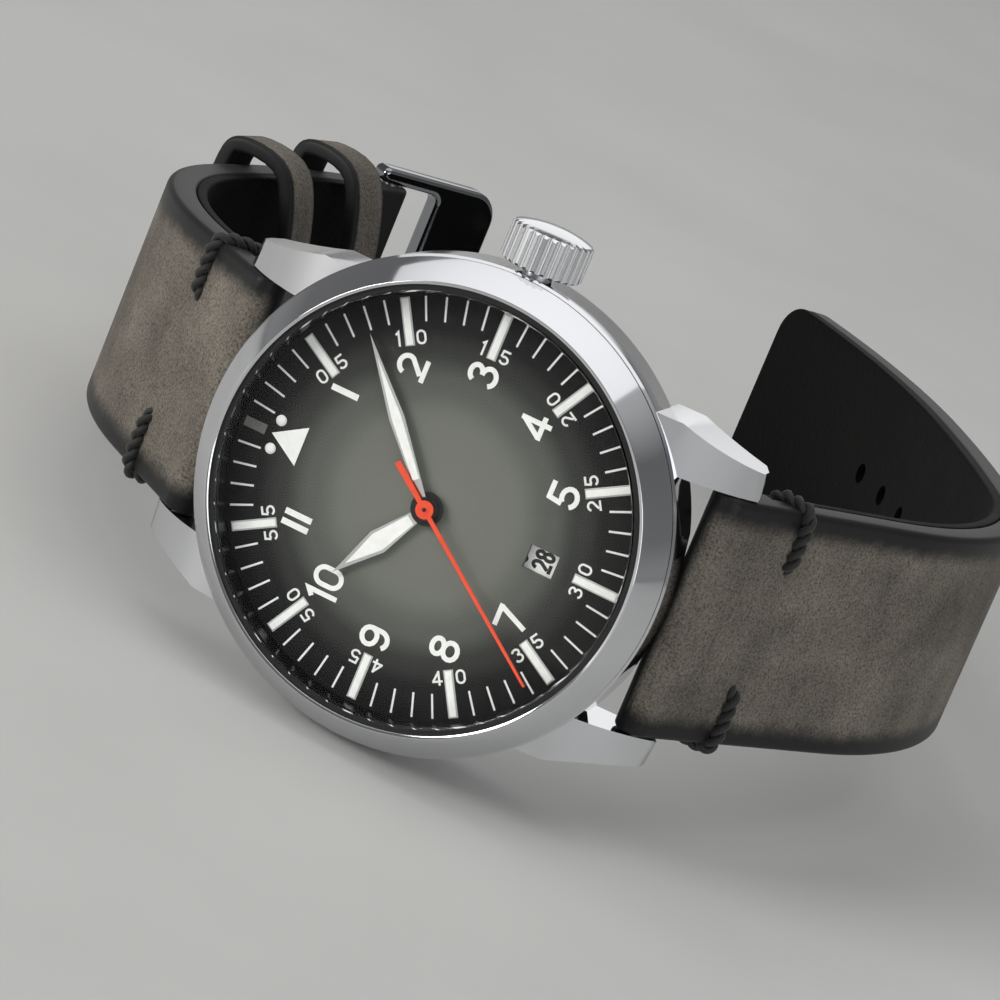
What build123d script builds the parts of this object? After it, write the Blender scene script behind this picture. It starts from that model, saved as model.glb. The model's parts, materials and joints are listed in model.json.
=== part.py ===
# Pilot watch lying on its side: steel case, automatic movement, three hands and a two-piece leather strap.
# Millimetres. The origin is the centre of the case back's outer face and +Z points up.

from build123d import *

import os
from math import asin, cos, degrees, radians, sin, sqrt

# Rest pose: the watch stands on its nine o'clock flank, leant back and rolled by small angles
rest_lean = 5.713
rest_roll = 2.161

# Clearances that several pieces share
fit = 0.02
running_fit = 0.05
air = 0.1
loose = 0.3
overrun = 1.0

# Case: the walls between the movement and the 40 mm wide case
movement_radius = 12.8
holder_width = 3.4
movement_seat_step = 1.4
dial_seat_wall = 2.4
case_foot_inset = 1.8
case_foot_height = 2.7
case_edge = 0.2

# Lugs and their spring bars
lug_gap = 21.0
lug_width = 3.1
lug_overhang = 2.9
lug_tip_height = 2.3
lug_bottom = 1.2
bar_overhang = 1.0
bar_height = 4.0
bar_radius = 0.75
bar_pin_radius = 0.4
bar_pin_length = 0.9

# Bezel, crystal and rehaut
bezel_foot_inset = 0.17
bezel_groove = 0.25
bezel_slope = 1.83
bezel_height = 2.5
bezel_bevel = 0.25
crystal_inset = 0.3
crystal_thickness = 1.25
crystal_drop = 0.05
crystal_bevel = 0.15
gasket_wall = 0.4
gasket_height = 1.0
rehaut_lower_wall = 0.85
rehaut_upper_wall = 0.45

# Case back
back_seat_width = 1.0
back_face_bevel = 1.6
back_glass_inset = 0.4
back_glass_ledge = 0.4
back_glass_thickness = 1.2
back_bevel_height = 1.4
back_flange_height = 1.9
back_neck_height = 1.3
back_neck_wall = 0.7
back_gasket_width = 0.7
back_gasket_height = 0.5

# Movement heights, counted from the case back towards the dial
rotor_low = 2.4
rotor_plate_thickness = 0.3
rotor_weight_height = 1.5
auto_bridge_low = 3.3
auto_bridge_thickness = 0.6
ratchet_thickness = 0.3
bridge_gap = 0.15
bridge_thickness = 0.7
wheel_thickness = 0.15
escape_thickness = 0.12
barrel_height = 0.95
barrel_wheel_thickness = 0.3
plate_thickness = 1.05
plate_rim = 0.8
dial_gap = 0.15
dial_thickness = 0.4

# Dial and date
dial_clearance = 0.1
dial_hole_radius = 1.2
marker_thickness = 0.05
track_inset = 0.29
tick_length = 1.95
tick_width = 0.18
bar_length = 3.8
bar_width = 0.79
twelve_bar_length = 1.86
triangle_inset = 2.4
triangle_height = 2.7
triangle_width = 3.3
dot_distance = 1.2
dot_inset = 2.76
dot_radius = 0.45
date_window_radius = 9.8
date_window_width = 1.95
date_window_height = 2.5
date_outer = 11.5
date_inner = 8.3
date_thickness = 0.25
date_tooth = 0.35
date_days = 31

# Hands
hour_hand_reach = 9.4
hour_hand_width = 1.95
hour_hand_neck = 0.65
hour_hand_thickness = 0.25
minute_hand_reach = 14.4
minute_hand_width = 1.3
minute_hand_neck = 0.55
minute_hand_thickness = 0.22
hand_frame = 0.24
hand_gap = 0.12
seconds_hand_reach = 15.8
seconds_hand_tail = 4.3
seconds_tail_width = 0.5
seconds_neck_width = 0.36
seconds_tip_width = 0.2
seconds_hub_radius = 0.74
seconds_thickness = 0.15
lume_thickness = 0.06
hour_angle = 303.2
minute_angle = 48.5
seconds_angle = 216.0

# Gears: teeth and modules
centre_pinion_leaves = 12
barrel_teeth = 84
barrel_module = 0.13
centre_teeth = 80
third_leaves = 10
centre_module = 0.12
third_teeth = 75
fourth_leaves = 10
third_module = 0.127
fourth_teeth = 84
escape_leaves = 7
fourth_module = 0.115
escape_teeth = 20
escape_radius = 2.0
cannon_leaves = 12
minute_teeth = 36
cannon_module = 0.1
minute_leaves = 10
hour_teeth = 40
hour_module = 0.096
crown_wheel_teeth = 33
ratchet_teeth = 47
winding_module = 0.18
winding_leaves = 16
barrel_direction = 60.0
third_direction = 200.0
escape_direction = 350.0
minute_wheel_direction = 25.0
balance_direction = 290.0
balance_distance = 7.4

# Arbors, jewels and the balance
arbor_radius = 0.16
pivot_radius = 0.09
pivot_length = 0.2
jewel_radius = 0.45
jewel_thickness = 0.2
seconds_arbor_radius = 0.15
centre_tube_wall = 0.18
cannon_wall = 0.18
hour_pipe_wall = 0.35
wheel_rim = 0.35
wheel_hub = 0.6
spoke_width = 0.35
drum_inset = 0.26
drum_wall = 0.3
drum_floor = 0.1
spring_strip = 0.12
spring_pitch = 0.4
spring_inner_radius = 1.5
spring_turns = 8
barrel_arbor_radius = 1.0
balance_radius = 4.0
balance_rim = 0.5
balance_thickness = 0.27
hairspring_inner = 0.5
hairspring_pitch = 0.2
hairspring_strip = 0.05
hairspring_turns = 8
cock_thickness = 0.6
cock_width = 3.4
bearing_radius = 1.92
escape_hole_count = 4
fork_distance = 2.6
roller_radius = 0.55

# Crown, stem and keyless work
crown_radius = 3.4
crown_length = 3.6
crown_gap = 0.4
crown_dome = 0.5
crown_flutes = 28
flute_radius = 0.27
crown_recess = 1.8
crown_pull = 1.0
tube_radius = 1.25
tube_wall = 0.45
stem_radius = 0.5
stem_inner_end = 7.2
clutch_radius = 0.75
clutch_length = 1.6
pinion_length = 0.9
lever_thickness = 0.2
lever_length = 2.0

# Strap: width, thickness and the lie of its two pieces
strap_width = 20.8
long_strap_length = 121.0
long_strap_tip_width = 18.8
long_strap_heading = 28.0
long_strap_outer = 1.6
long_strap_inner = 1.7
short_strap_length = 74.0
short_strap_end_width = 19.0
short_strap_heading = 45.5
short_strap_outer = 1.5
short_strap_inner = 2.1
strap_loop_radius = 1.75
strap_bore = 0.95
lining_thickness = 1.0
lining_start = 5.0
tip_corner = 3.0
hole_radius = 1.0
hole_pitch = 7.0
hole_from_tip = 27.0
hole_count = 7
stitch_distance = 8.5
stitch_width = 1.1
stitch_height = 0.5
stitch_inset = 5.4

# Keepers
keeper_thickness = 1.4
keeper_band = 5.0
keeper_side = 1.0
keeper_bow = 3.6
keeper_depth = 4.6
keeper_corner = 1.8
fixed_keeper_place = 48.5
free_keeper_place = 62.7

# Buckle
buckle_heading = -38.0
buckle_arm = 1.5
buckle_back = 1.8
buckle_window = 3.4
buckle_plate = 7.2
buckle_thickness = 2.2
buckle_corner = 1.2
tongue_width = 2.4
tongue_slot = 3.4
tongue_slot_length = 5.5
tongue_ring_radius = 1.4
tongue_bore = 0.85
tongue_thickness = 1.0

# Bend tables of the straps: share of the length, turn of the heading in degrees
long_bend_shares = [(0.18, 0), (0.29, -50), (0.22, -6), (0.31, -19)]
short_bend_shares = [(0.16, 0), (0.39, -47), (0.45, -16)]

# Shapes that only have proportions
tooth_root_width_share = 0.30
tooth_tip_width_share = 0.10
tooth_tip_share = 0.85
tooth_root_share = 1.2
hand_shoulder_share = 0.52
lume_start_share = 0.17
lume_end_share = 0.86
lug_heel_share = 0.68
lug_hip_share = 0.56
lug_swoop_share = 0.83
lug_tail_share = 1 / 3
lug_flare_share = 0.25
lug_facet_share = 0.125
motion_recess_share = 0.6
escape_tooth_shares = ((0.8, 0), (1, 0.1), (0.98, 0.2), (0.8, 0.5))
escape_hole_share = 1 / 3
fork_head_share = 1.5
fork_pallet_share = 0.7
fork_stone_share = 0.8

# Heights worked out from the stack
auto_bridge_high = auto_bridge_low + auto_bridge_thickness
ratchet_low = auto_bridge_high + bridge_gap
ratchet_high = ratchet_low + ratchet_thickness
bridge_low = ratchet_high + bridge_gap
bridge_high = bridge_low + bridge_thickness
fourth_low = bridge_high + air
escape_low = fourth_low + wheel_thickness + running_fit
barrel_low = escape_low + escape_thickness + air
barrel_high = barrel_low + barrel_height
barrel_wheel_low = barrel_high
third_low = (barrel_low + barrel_high) / 2
barrel_wheel_high = barrel_wheel_low + barrel_wheel_thickness
centre_low = barrel_wheel_high + air
plate_low = centre_low + wheel_thickness + air
plate_high = plate_low + plate_thickness
dial_low = plate_high + dial_gap
dial_high = dial_low + dial_thickness
hour_low = dial_high + loose
hour_high = hour_low + hour_hand_thickness
minute_low = hour_high + hand_gap
minute_high = minute_low + minute_hand_thickness
seconds_low = minute_high + hand_gap + lume_thickness
seconds_high = seconds_low + seconds_thickness

# Case sizes worked out from the driving ones
movement_seat_radius = movement_radius + holder_width
dial_seat_radius = movement_seat_radius + movement_seat_step
case_radius = dial_seat_radius + dial_seat_wall
case_floor = back_flange_height
case_belly = case_floor + case_foot_height
case_top = dial_high + loose
lug_reach = case_radius + lug_overhang
bar_distance = case_radius + bar_overhang
crystal_radius = dial_seat_radius - crystal_inset
rehaut_lower_radius = dial_seat_radius - rehaut_lower_wall
rehaut_upper_radius = dial_seat_radius - rehaut_upper_wall
back_radius = movement_seat_radius + back_seat_width
back_face_outer = back_radius - back_face_bevel
back_glass_radius = movement_radius - back_glass_inset
dial_radius = dial_seat_radius - dial_clearance
track_outer = rehaut_lower_radius - track_inset
tick_inner = track_outer - tick_length
bar_inner = track_outer - bar_length
twelve_bar_inner = track_outer - twelve_bar_length
triangle_tip = track_outer - triangle_inset
triangle_base = triangle_tip - triangle_height
dot_height = track_outer - dot_inset
stem_height = bridge_high + stem_radius + loose
holder_seat = stem_height
bezel_top = case_top + bezel_height
crystal_low = bezel_top - crystal_drop - crystal_thickness
bezel_inner = crystal_radius + gasket_wall
back_high = back_flange_height + back_neck_height
strap_half = strap_width / 2
lug_inner = lug_gap / 2
lug_outer = lug_inner + lug_width
hole_depth = 3 * strap_loop_radius
short_lining_end = short_strap_length - lining_start

# Frame of the watch: local x towards three o'clock, local y towards twelve, local z out of the dial
level_three = Vector(0, sin(radians(rest_lean)), cos(radians(rest_lean)))
level_twelve = Vector(-1, 0, 0)
dial_normal = Vector(0, -cos(radians(rest_lean)), sin(radians(rest_lean)))
toward_three = cos(radians(rest_roll)) * level_three + sin(radians(rest_roll)) * level_twelve
watch = Plane(origin=(0, 0, 0), x_dir=toward_three, z_dir=dial_normal)
side = Plane(origin=(0, 0, 0), x_dir=watch.y_dir, z_dir=watch.x_dir)


def level(height):
    """The plane parallel to the dial at a height above the case back."""
    return watch.offset(height)


def world(x, y, height=0):
    """A place in the watch frame as a point of the model."""
    return watch.from_local_coords((x, y, height))


def polar(radius, angle):
    """A place on the dial from its radius and its angle from three o'clock, counted to twelve."""
    return radius * cos(radians(angle)), radius * sin(radians(angle))


def spin(outline, x=0, y=0, mode=Mode.ADD):
    """Turn an outline of radius and height points about the dial axis that passes a place."""
    plane = Plane(origin=world(x, y), x_dir=watch.x_dir, z_dir=-watch.y_dir)
    with BuildSketch(plane) as profile:
        with BuildLine():
            Polyline(*outline, close=True)
        make_face()
    revolve(profile.sketch, axis=Axis(plane.origin, watch.z_dir), mode=mode)


def tube(outer, inner, low, high, x=0, y=0, mode=Mode.ADD):
    """A round tube, or with no inner radius a disc, between two heights."""
    spin([(inner, low), (outer, low), (outer, high), (inner, high)], x, y, mode)


def stem_tube(outer, inner, start, end, mode=Mode.ADD):
    """A round tube along the stem, between two distances from the dial axis."""
    with BuildSketch(Plane(origin=world(start, 0, stem_height), x_dir=watch.y_dir, z_dir=watch.x_dir)) as ring:
        Circle(outer)
        if inner:
            Circle(inner, mode=Mode.SUBTRACT)
    extrude(ring.sketch, amount=end - start, mode=mode)


def plate(points, low, high, mode=Mode.ADD):
    """A flat plate from an outline on the dial plane, between two heights."""
    with BuildSketch(level(low)) as flat:
        with BuildLine():
            Polyline(*points, close=True)
        make_face()
    extrude(flat.sketch, amount=high - low, mode=mode)


def block(x_low, x_high, y_low, y_high, low, high, mode=Mode.ADD):
    """A rectangular block between two places and two heights."""
    plate([(x_low, y_low), (x_high, y_low), (x_high, y_high), (x_low, y_high)], low, high, mode)


def gear_points(teeth, module, x, y, first):
    """A gear outline with trapezium teeth, the first one centred on an angle."""
    tip = (teeth / 2 + tooth_tip_share) * module
    root = (teeth / 2 - tooth_root_share) * module
    flank = [(root, -tooth_root_width_share), (tip, -tooth_tip_width_share)]
    flank += [(tip, tooth_tip_width_share), (root, tooth_root_width_share)]
    points = []
    for number in range(teeth):
        for radius, share in flank:
            across, along = polar(radius, first + (number + share) * 360 / teeth)
            points.append((x + across, y + along))
    return points


def gear(teeth, module, low, high, x=0, y=0, first=0.0):
    """A solid gear or pinion between two heights."""
    plate(gear_points(teeth, module, x, y, first), low, high)


def spoked_gear(teeth, module, low, high, x=0, y=0, first=0.0, spokes=5):
    """A gear whose web is crossed out to spokes."""
    rim_inner = (teeth / 2 - tooth_root_share) * module - wheel_rim
    with BuildSketch(level(low)) as flat:
        with BuildLine():
            Polyline(*gear_points(teeth, module, x, y, first), close=True)
        make_face()
        with Locations((x, y)):
            Circle(rim_inner, mode=Mode.SUBTRACT)
            Circle(wheel_hub)
            with PolarLocations(rim_inner / 2, spokes):
                Rectangle(rim_inner + wheel_rim, spoke_width)
    extrude(flat.sketch, amount=high - low)


def arbor(x, y, low, high):
    """A straight arbor with a thin pivot at each end."""
    shoulder_low = low + pivot_length
    shoulder_high = high - pivot_length
    spin([(0, low), (pivot_radius, low), (pivot_radius, shoulder_low), (arbor_radius, shoulder_low),
          (arbor_radius, shoulder_high), (pivot_radius, shoulder_high), (pivot_radius, high), (0, high)], x, y)


def spiral(x, y, low, high, inner, pitch, turns, strip):
    """A flat spiral strip laid in half turns whose centres alternate."""
    with BuildSketch(level(low)) as flat:
        with BuildLine():
            for half in range(2 * turns):
                radius = inner + half * pitch / 2
                sign = 1 if half % 2 == 0 else -1
                centre = x + sign * pitch / 4
                ThreePointArc((centre + sign * radius, y), (centre, y + sign * radius), (centre - sign * radius, y))
        trace(line_width=strip)
    extrude(flat.sketch, amount=high - low)


def keep(builder, name):
    """Label a finished piece and write it under its node's name."""
    builder.part.label = name
    export_step(builder.part, f"parts/{name}.step")


os.makedirs("parts", exist_ok=True)

# Places of the wheels
barrel_distance = (barrel_teeth + centre_pinion_leaves) / 2 * barrel_module
barrel_x, barrel_y = polar(barrel_distance, barrel_direction)
third_distance = (centre_teeth + third_leaves) / 2 * centre_module
third_x, third_y = polar(third_distance, third_direction)
escape_distance = (fourth_teeth + escape_leaves) / 2 * fourth_module
escape_x, escape_y = polar(escape_distance, escape_direction)
balance_x, balance_y = polar(balance_distance, balance_direction)
minute_wheel_distance = (cannon_leaves + minute_teeth) / 2 * cannon_module
minute_x, minute_y = polar(minute_wheel_distance, minute_wheel_direction)
winding_distance = (crown_wheel_teeth + ratchet_teeth) / 2 * winding_module
crown_wheel_x = barrel_x + sqrt(winding_distance**2 - barrel_y**2)
crown_wheel_radius = crown_wheel_teeth / 2 * winding_module
pinion_end = crown_wheel_x + crown_wheel_radius + winding_module
pinion_start = pinion_end - pinion_length
clutch_end = pinion_start - loose
clutch_start = clutch_end - clutch_length
fork_share = fork_distance / sqrt((balance_x - escape_x)**2 + (balance_y - escape_y)**2)
fork_x = escape_x + (balance_x - escape_x) * fork_share
fork_y = escape_y + (balance_y - escape_y) * fork_share
balance_low = bridge_high - balance_thickness + fit
cock_low = auto_bridge_high + bridge_gap
cock_high = cock_low + cock_thickness

# Case middle: a turned ring with four lugs, bored for the crown tube and the spring bars
with BuildPart() as lug_form:
    with BuildSketch(side):
        with BuildLine():
            heel = case_radius * lug_heel_share
            tail = Line((heel, case_floor), (lug_reach - lug_width * lug_tail_share, lug_bottom))
            toe = Line(tail @ 1, (lug_reach, lug_tip_height + lug_bottom))
            crest = ThreePointArc(toe @ 1, (lug_reach - lug_width, bar_height + lug_tip_height + loose),
                                  (heel, case_top - loose))
            Line(crest @ 1, tail @ 0)
        make_face()
    extrude(amount=lug_outer + overrun, both=True)
    mirror(about=Plane(origin=(0, 0, 0), x_dir=watch.x_dir, z_dir=watch.y_dir))
    with BuildSketch(level(lug_bottom - overrun)) as plan:
        with BuildLine():
            hip = case_radius * lug_hip_share
            tip_out = (lug_outer - lug_width * lug_flare_share, lug_reach - lug_width * lug_facet_share)
            swoop = ThreePointArc((sqrt(case_radius**2 - hip**2), hip),
                                  (lug_outer + lug_width * lug_flare_share, case_radius * lug_swoop_share), tip_out)
            Line(swoop @ 1, (lug_inner, lug_reach))
            Line((lug_inner, lug_reach), (lug_inner, hip))
            Line((lug_inner, hip), swoop @ 0)
        make_face()
        mirror(about=Plane.YZ)
        mirror(about=Plane.XZ)
    extrude(amount=case_top + overrun, mode=Mode.INTERSECT)

with BuildPart() as case_middle:
    spin([(case_radius - case_foot_inset, case_floor), (case_radius, case_belly),
          (case_radius, case_top - case_edge), (case_radius - case_edge, case_top),
          (dial_seat_radius, case_top), (dial_seat_radius, holder_seat),
          (movement_seat_radius, holder_seat), (movement_seat_radius, case_floor)])
    add(lug_form.part)
    tube(dial_seat_radius, 0, holder_seat, case_top + overrun, mode=Mode.SUBTRACT)
    tube(movement_seat_radius, 0, lug_bottom - overrun, case_top, mode=Mode.SUBTRACT)
    tube(back_radius, 0, lug_bottom - overrun, case_floor, mode=Mode.SUBTRACT)
    tube(back_radius + fit, back_radius - back_gasket_width, case_floor - air, case_floor + back_gasket_height,
         mode=Mode.SUBTRACT)
    for turn in (-1, 1):
        with BuildSketch(side):
            with Locations((turn * bar_distance, bar_height)):
                Circle(strap_loop_radius + loose)
        extrude(amount=lug_inner, both=True, mode=Mode.SUBTRACT)
        with BuildSketch(side):
            with Locations((turn * bar_distance, bar_height)):
                Circle(bar_pin_radius + running_fit)
        extrude(amount=lug_inner + bar_pin_length + air, both=True, mode=Mode.SUBTRACT)
    stem_tube(tube_radius + fit, 0, movement_seat_radius - overrun, case_radius + overrun, mode=Mode.SUBTRACT)
keep(case_middle, "case_middle")

# Bezel, crystal, their gasket and the inner ring
with BuildPart() as bezel:
    foot = case_radius - bezel_foot_inset
    crest_radius = foot - bezel_slope
    spin([(bezel_inner, case_top), (foot - bezel_groove, case_top), (foot - bezel_groove, case_top + bezel_groove),
          (foot, case_top + bezel_groove), (crest_radius, bezel_top), (crest_radius - bezel_bevel, bezel_top - air),
          (bezel_inner, bezel_top - bezel_bevel)])
keep(bezel, "bezel")

with BuildPart() as crystal:
    crystal_high = crystal_low + crystal_thickness
    spin([(0, crystal_low), (crystal_radius, crystal_low), (crystal_radius, crystal_high - crystal_bevel),
          (crystal_radius - crystal_bevel, crystal_high), (0, crystal_high)])
keep(crystal, "crystal")

with BuildPart() as crystal_gasket:
    tube(bezel_inner, crystal_radius, crystal_low, crystal_low + gasket_height)
keep(crystal_gasket, "crystal_gasket")

with BuildPart() as rehaut_ring:
    spin([(rehaut_lower_radius, dial_high), (dial_seat_radius - fit, dial_high),
          (dial_seat_radius - fit, crystal_low), (rehaut_upper_radius, crystal_low)])
keep(rehaut_ring, "rehaut_ring")

# Case back: screwed ring, display glass and gasket
with BuildPart() as case_back_ring:
    neck = movement_seat_radius - air
    glass_bore = back_glass_radius + fit
    ledge_radius = back_glass_radius - back_glass_ledge
    glass_top = back_glass_thickness
    spin([(glass_bore, 0), (back_face_outer, 0), (back_radius - fit, back_bevel_height),
          (back_radius - fit, case_floor), (neck, case_floor), (neck, back_high), (neck - back_neck_wall, back_high),
          (neck - back_neck_wall, back_flange_height), (ledge_radius, back_flange_height),
          (ledge_radius, glass_top), (glass_bore, glass_top)])
keep(case_back_ring, "case_back_ring")

with BuildPart() as case_back_crystal:
    tube(back_glass_radius, 0, 0, glass_top)
keep(case_back_crystal, "case_back_crystal")

with BuildPart() as case_back_gasket:
    tube(back_radius, back_radius - back_gasket_width, case_floor, case_floor + back_gasket_height)
keep(case_back_gasket, "case_back_gasket")

# Crown, its tube and gasket, and the winding stem
crown_start = case_radius + crown_gap
crown_end = crown_start + crown_length
tube_end = crown_start + crown_recess - loose
with BuildPart() as crown_tube:
    stem_tube(tube_radius, tube_radius - tube_wall, movement_seat_radius, tube_end)
keep(crown_tube, "crown_tube")

crown_axis_plane = Plane(origin=world(0, 0, stem_height), x_dir=watch.x_dir, z_dir=-watch.y_dir)
with BuildPart() as crown:
    with BuildSketch(crown_axis_plane):
        with BuildLine():
            recess_radius = tube_radius + gasket_wall + running_fit
            floor_line = Polyline((crown_start + crown_recess, stem_radius + fit),
                                  (crown_start + crown_recess, recess_radius), (crown_start, recess_radius),
                                  (crown_start, crown_radius - case_edge),
                                  (crown_start + case_edge, crown_radius),
                                  (crown_end - crown_dome - case_edge, crown_radius),
                                  (crown_end - crown_dome, crown_radius - case_edge))
            dome = ThreePointArc(floor_line @ 1, (crown_end - crown_dome / 4, crown_radius / 2), (crown_end, 0))
            socket = crown_end - crown_dome - overrun
            Polyline(dome @ 1, (socket, 0), (socket, stem_radius + fit), floor_line @ 0)
        make_face()
    revolve(axis=Axis(crown_axis_plane.origin, watch.x_dir))
    with BuildSketch(Plane(origin=world(crown_start, 0, stem_height), x_dir=watch.y_dir, z_dir=watch.x_dir)):
        with PolarLocations(crown_radius + flute_radius / 4, crown_flutes):
            Circle(flute_radius)
    extrude(amount=crown_length - crown_dome, mode=Mode.SUBTRACT)
keep(crown, "crown")

with BuildPart() as crown_gasket:
    stem_tube(recess_radius - fit, tube_radius + running_fit, crown_start + loose, crown_start + loose + gasket_wall)
keep(crown_gasket, "crown_gasket")

with BuildPart() as winding_stem:
    stem_tube(stem_radius, 0, stem_inner_end, socket)
    groove_start = pinion_end + air
    stem_tube(stem_radius + air, stem_radius - air, groove_start, groove_start + lever_thickness + air,
              mode=Mode.SUBTRACT)
keep(winding_stem, "winding_stem")

with BuildPart() as setting_lever:
    lever_start = groove_start + running_fit
    block(lever_start, lever_start + lever_thickness, -lever_length, air - fit - stem_radius,
          stem_height - lever_thickness, stem_height + lever_thickness)
keep(setting_lever, "setting_lever")

with BuildPart() as winding_pinion:
    pinion_radius = stem_height - ratchet_high - air
    with BuildSketch(Plane(origin=world(pinion_start, 0, stem_height), x_dir=watch.y_dir, z_dir=watch.x_dir)):
        Circle(pinion_radius)
        with PolarLocations(pinion_radius, winding_leaves):
            Circle(winding_module, mode=Mode.SUBTRACT)
        Circle(stem_radius + running_fit, mode=Mode.SUBTRACT)
    extrude(amount=pinion_length)
keep(winding_pinion, "winding_pinion")

with BuildPart() as sliding_clutch:
    stem_tube(clutch_radius, stem_radius + running_fit, clutch_start, clutch_end)
    clutch_middle = (clutch_start + clutch_end) / 2
    stem_tube(clutch_radius + air, clutch_radius - air, clutch_middle - lever_thickness,
              clutch_middle + lever_thickness, mode=Mode.SUBTRACT)
keep(sliding_clutch, "sliding_clutch")

with BuildPart() as clutch_yoke:
    block(clutch_middle - lever_thickness / 2, clutch_middle + lever_thickness / 2, clutch_radius - air + fit,
          clutch_radius + lever_length, stem_height - lever_thickness, stem_height + lever_thickness)
keep(clutch_yoke, "clutch_yoke")

# Movement: holder, main plate and bridges
rim_inner = movement_radius - plate_rim
lever_slot = lever_length + loose
with BuildPart() as movement_holder:
    bore = movement_radius + air
    spin([(bore, bridge_low), (movement_seat_radius - air, bridge_low), (movement_seat_radius - air, holder_seat),
          (dial_seat_radius - air, holder_seat), (dial_seat_radius - air, dial_low), (bore, dial_low)])
    stem_tube(stem_radius + air, 0, bore - overrun, case_radius, mode=Mode.SUBTRACT)
    stem_tube(tube_radius + air, 0, movement_seat_radius - air, case_radius, mode=Mode.SUBTRACT)
keep(movement_holder, "movement_holder")

date_floor = plate_high - date_thickness - air
upper_jewels = [(third_x, third_y), (escape_x, escape_y), (fork_x, fork_y), (balance_x, balance_y)]
centre_bore = seconds_arbor_radius + running_fit + centre_tube_wall + running_fit
with BuildPart() as main_plate:
    tube(movement_radius, centre_bore, plate_low, plate_high)
    tube(movement_radius, rim_inner, bridge_high, plate_low)
    motion_radius = minute_wheel_distance + (minute_teeth / 2 + 1) * cannon_module + loose
    motion_floor = plate_high - motion_recess_share * plate_thickness
    tube(motion_radius, centre_bore, motion_floor, plate_high + overrun, mode=Mode.SUBTRACT)
    tube(date_outer + air, date_inner - air, date_floor, plate_high + overrun, mode=Mode.SUBTRACT)
    tube(arbor_radius, 0, motion_floor - air, plate_high - loose, minute_x, minute_y)
    pinion_room = pinion_radius + air
    block(pinion_start - loose, pinion_end + air, -pinion_room, pinion_room, plate_low - overrun,
          stem_height + pinion_room, mode=Mode.SUBTRACT)
    block(pinion_end, movement_radius + overrun, -lever_slot, stem_radius + air,
          stem_height - stem_radius - air, stem_height + stem_radius + air, mode=Mode.SUBTRACT)
    for x, y in upper_jewels:
        tube(jewel_radius + fit, 0, plate_low - air, plate_low + jewel_thickness, x, y, mode=Mode.SUBTRACT)
keep(main_plate, "main_plate")

lower_jewels = [(0, 0), (third_x, third_y), (escape_x, escape_y)]
cock_slot = cock_width / 2 + air
with BuildPart() as train_bridge:
    tube(movement_radius, 0, bridge_low, bridge_high)
    tube(balance_radius + loose, 0, bridge_low - overrun, bridge_high + overrun, balance_x, balance_y,
         mode=Mode.SUBTRACT)
    with BuildSketch(level(bridge_low - overrun)):
        with Locations(polar(movement_radius, balance_direction)):
            Rectangle(2 * balance_radius, 2 * cock_slot, rotation=balance_direction)
    extrude(amount=bridge_thickness + 2 * overrun, mode=Mode.SUBTRACT)
    block(pinion_start - air, rim_inner, -pinion_room, pinion_room, bridge_low - overrun, bridge_high + overrun,
          mode=Mode.SUBTRACT)
    tube(barrel_arbor_radius + running_fit, 0, bridge_low - overrun, bridge_high + overrun, barrel_x, barrel_y,
         mode=Mode.SUBTRACT)
    tube(wheel_hub, 0, ratchet_low, bridge_low, crown_wheel_x, 0)
    for x, y in lower_jewels:
        tube(jewel_radius + fit, 0, bridge_high - jewel_thickness, bridge_high + air, x, y, mode=Mode.SUBTRACT)
keep(train_bridge, "train_bridge")

with BuildPart() as balance_cock:
    foot_x, foot_y = polar(rim_inner + plate_rim / 2, balance_direction)
    reach = sqrt((foot_x - balance_x)**2 + (foot_y - balance_y)**2)
    with BuildSketch(level(cock_low)):
        with Locations(((foot_x + balance_x) / 2, (foot_y + balance_y) / 2)):
            Rectangle(reach, cock_width, rotation=balance_direction)
        with Locations((balance_x, balance_y)):
            Circle(cock_width / 2)
    extrude(amount=cock_thickness)
    with BuildSketch(level(cock_high)):
        with Locations((foot_x, foot_y)):
            Rectangle(plate_rim, cock_width, rotation=balance_direction)
    extrude(amount=bridge_high - cock_high)
    tube(movement_radius + overrun, movement_radius, cock_low - air, bridge_high + air, mode=Mode.SUBTRACT)
    tube(jewel_radius + fit, 0, cock_high - jewel_thickness, cock_high + air, balance_x, balance_y,
         mode=Mode.SUBTRACT)
keep(balance_cock, "balance_cock")

with BuildPart() as jewels:
    pivot_bore = pivot_radius + fit
    for x, y in upper_jewels:
        tube(jewel_radius, pivot_bore, plate_low, plate_low + jewel_thickness, x, y)
    for x, y in lower_jewels:
        bore = seconds_arbor_radius + fit if (x, y) == (0, 0) else pivot_bore
        tube(jewel_radius, bore, bridge_high - jewel_thickness, bridge_high, x, y)
    tube(jewel_radius, pivot_bore, cock_high - jewel_thickness, cock_high, balance_x, balance_y)
keep(jewels, "jewels")

# Going train
centre_tube_inner = seconds_arbor_radius + running_fit
centre_tube_outer = centre_tube_inner + centre_tube_wall
with BuildPart() as centre_wheel:
    spoked_gear(centre_teeth, centre_module, centre_low, centre_low + wheel_thickness, first=third_direction)
    gear(centre_pinion_leaves, barrel_module, barrel_wheel_low, centre_low,
         first=barrel_direction + 180 / centre_pinion_leaves)
    tube(centre_tube_outer, 0, centre_low, minute_high)
    tube(centre_tube_inner, 0, barrel_low, minute_high + overrun, mode=Mode.SUBTRACT)
keep(centre_wheel, "centre_wheel")

with BuildPart() as third_wheel:
    spoked_gear(third_teeth, third_module, third_low, third_low + wheel_thickness, third_x, third_y,
                first=third_direction + 180)
    gear(third_leaves, centre_module, centre_low - air / 2, centre_low + wheel_thickness, third_x, third_y,
         first=third_direction + 180 + 180 / third_leaves)
    arbor(third_x, third_y, bridge_high - jewel_thickness, plate_low + jewel_thickness)
keep(third_wheel, "third_wheel")

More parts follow.
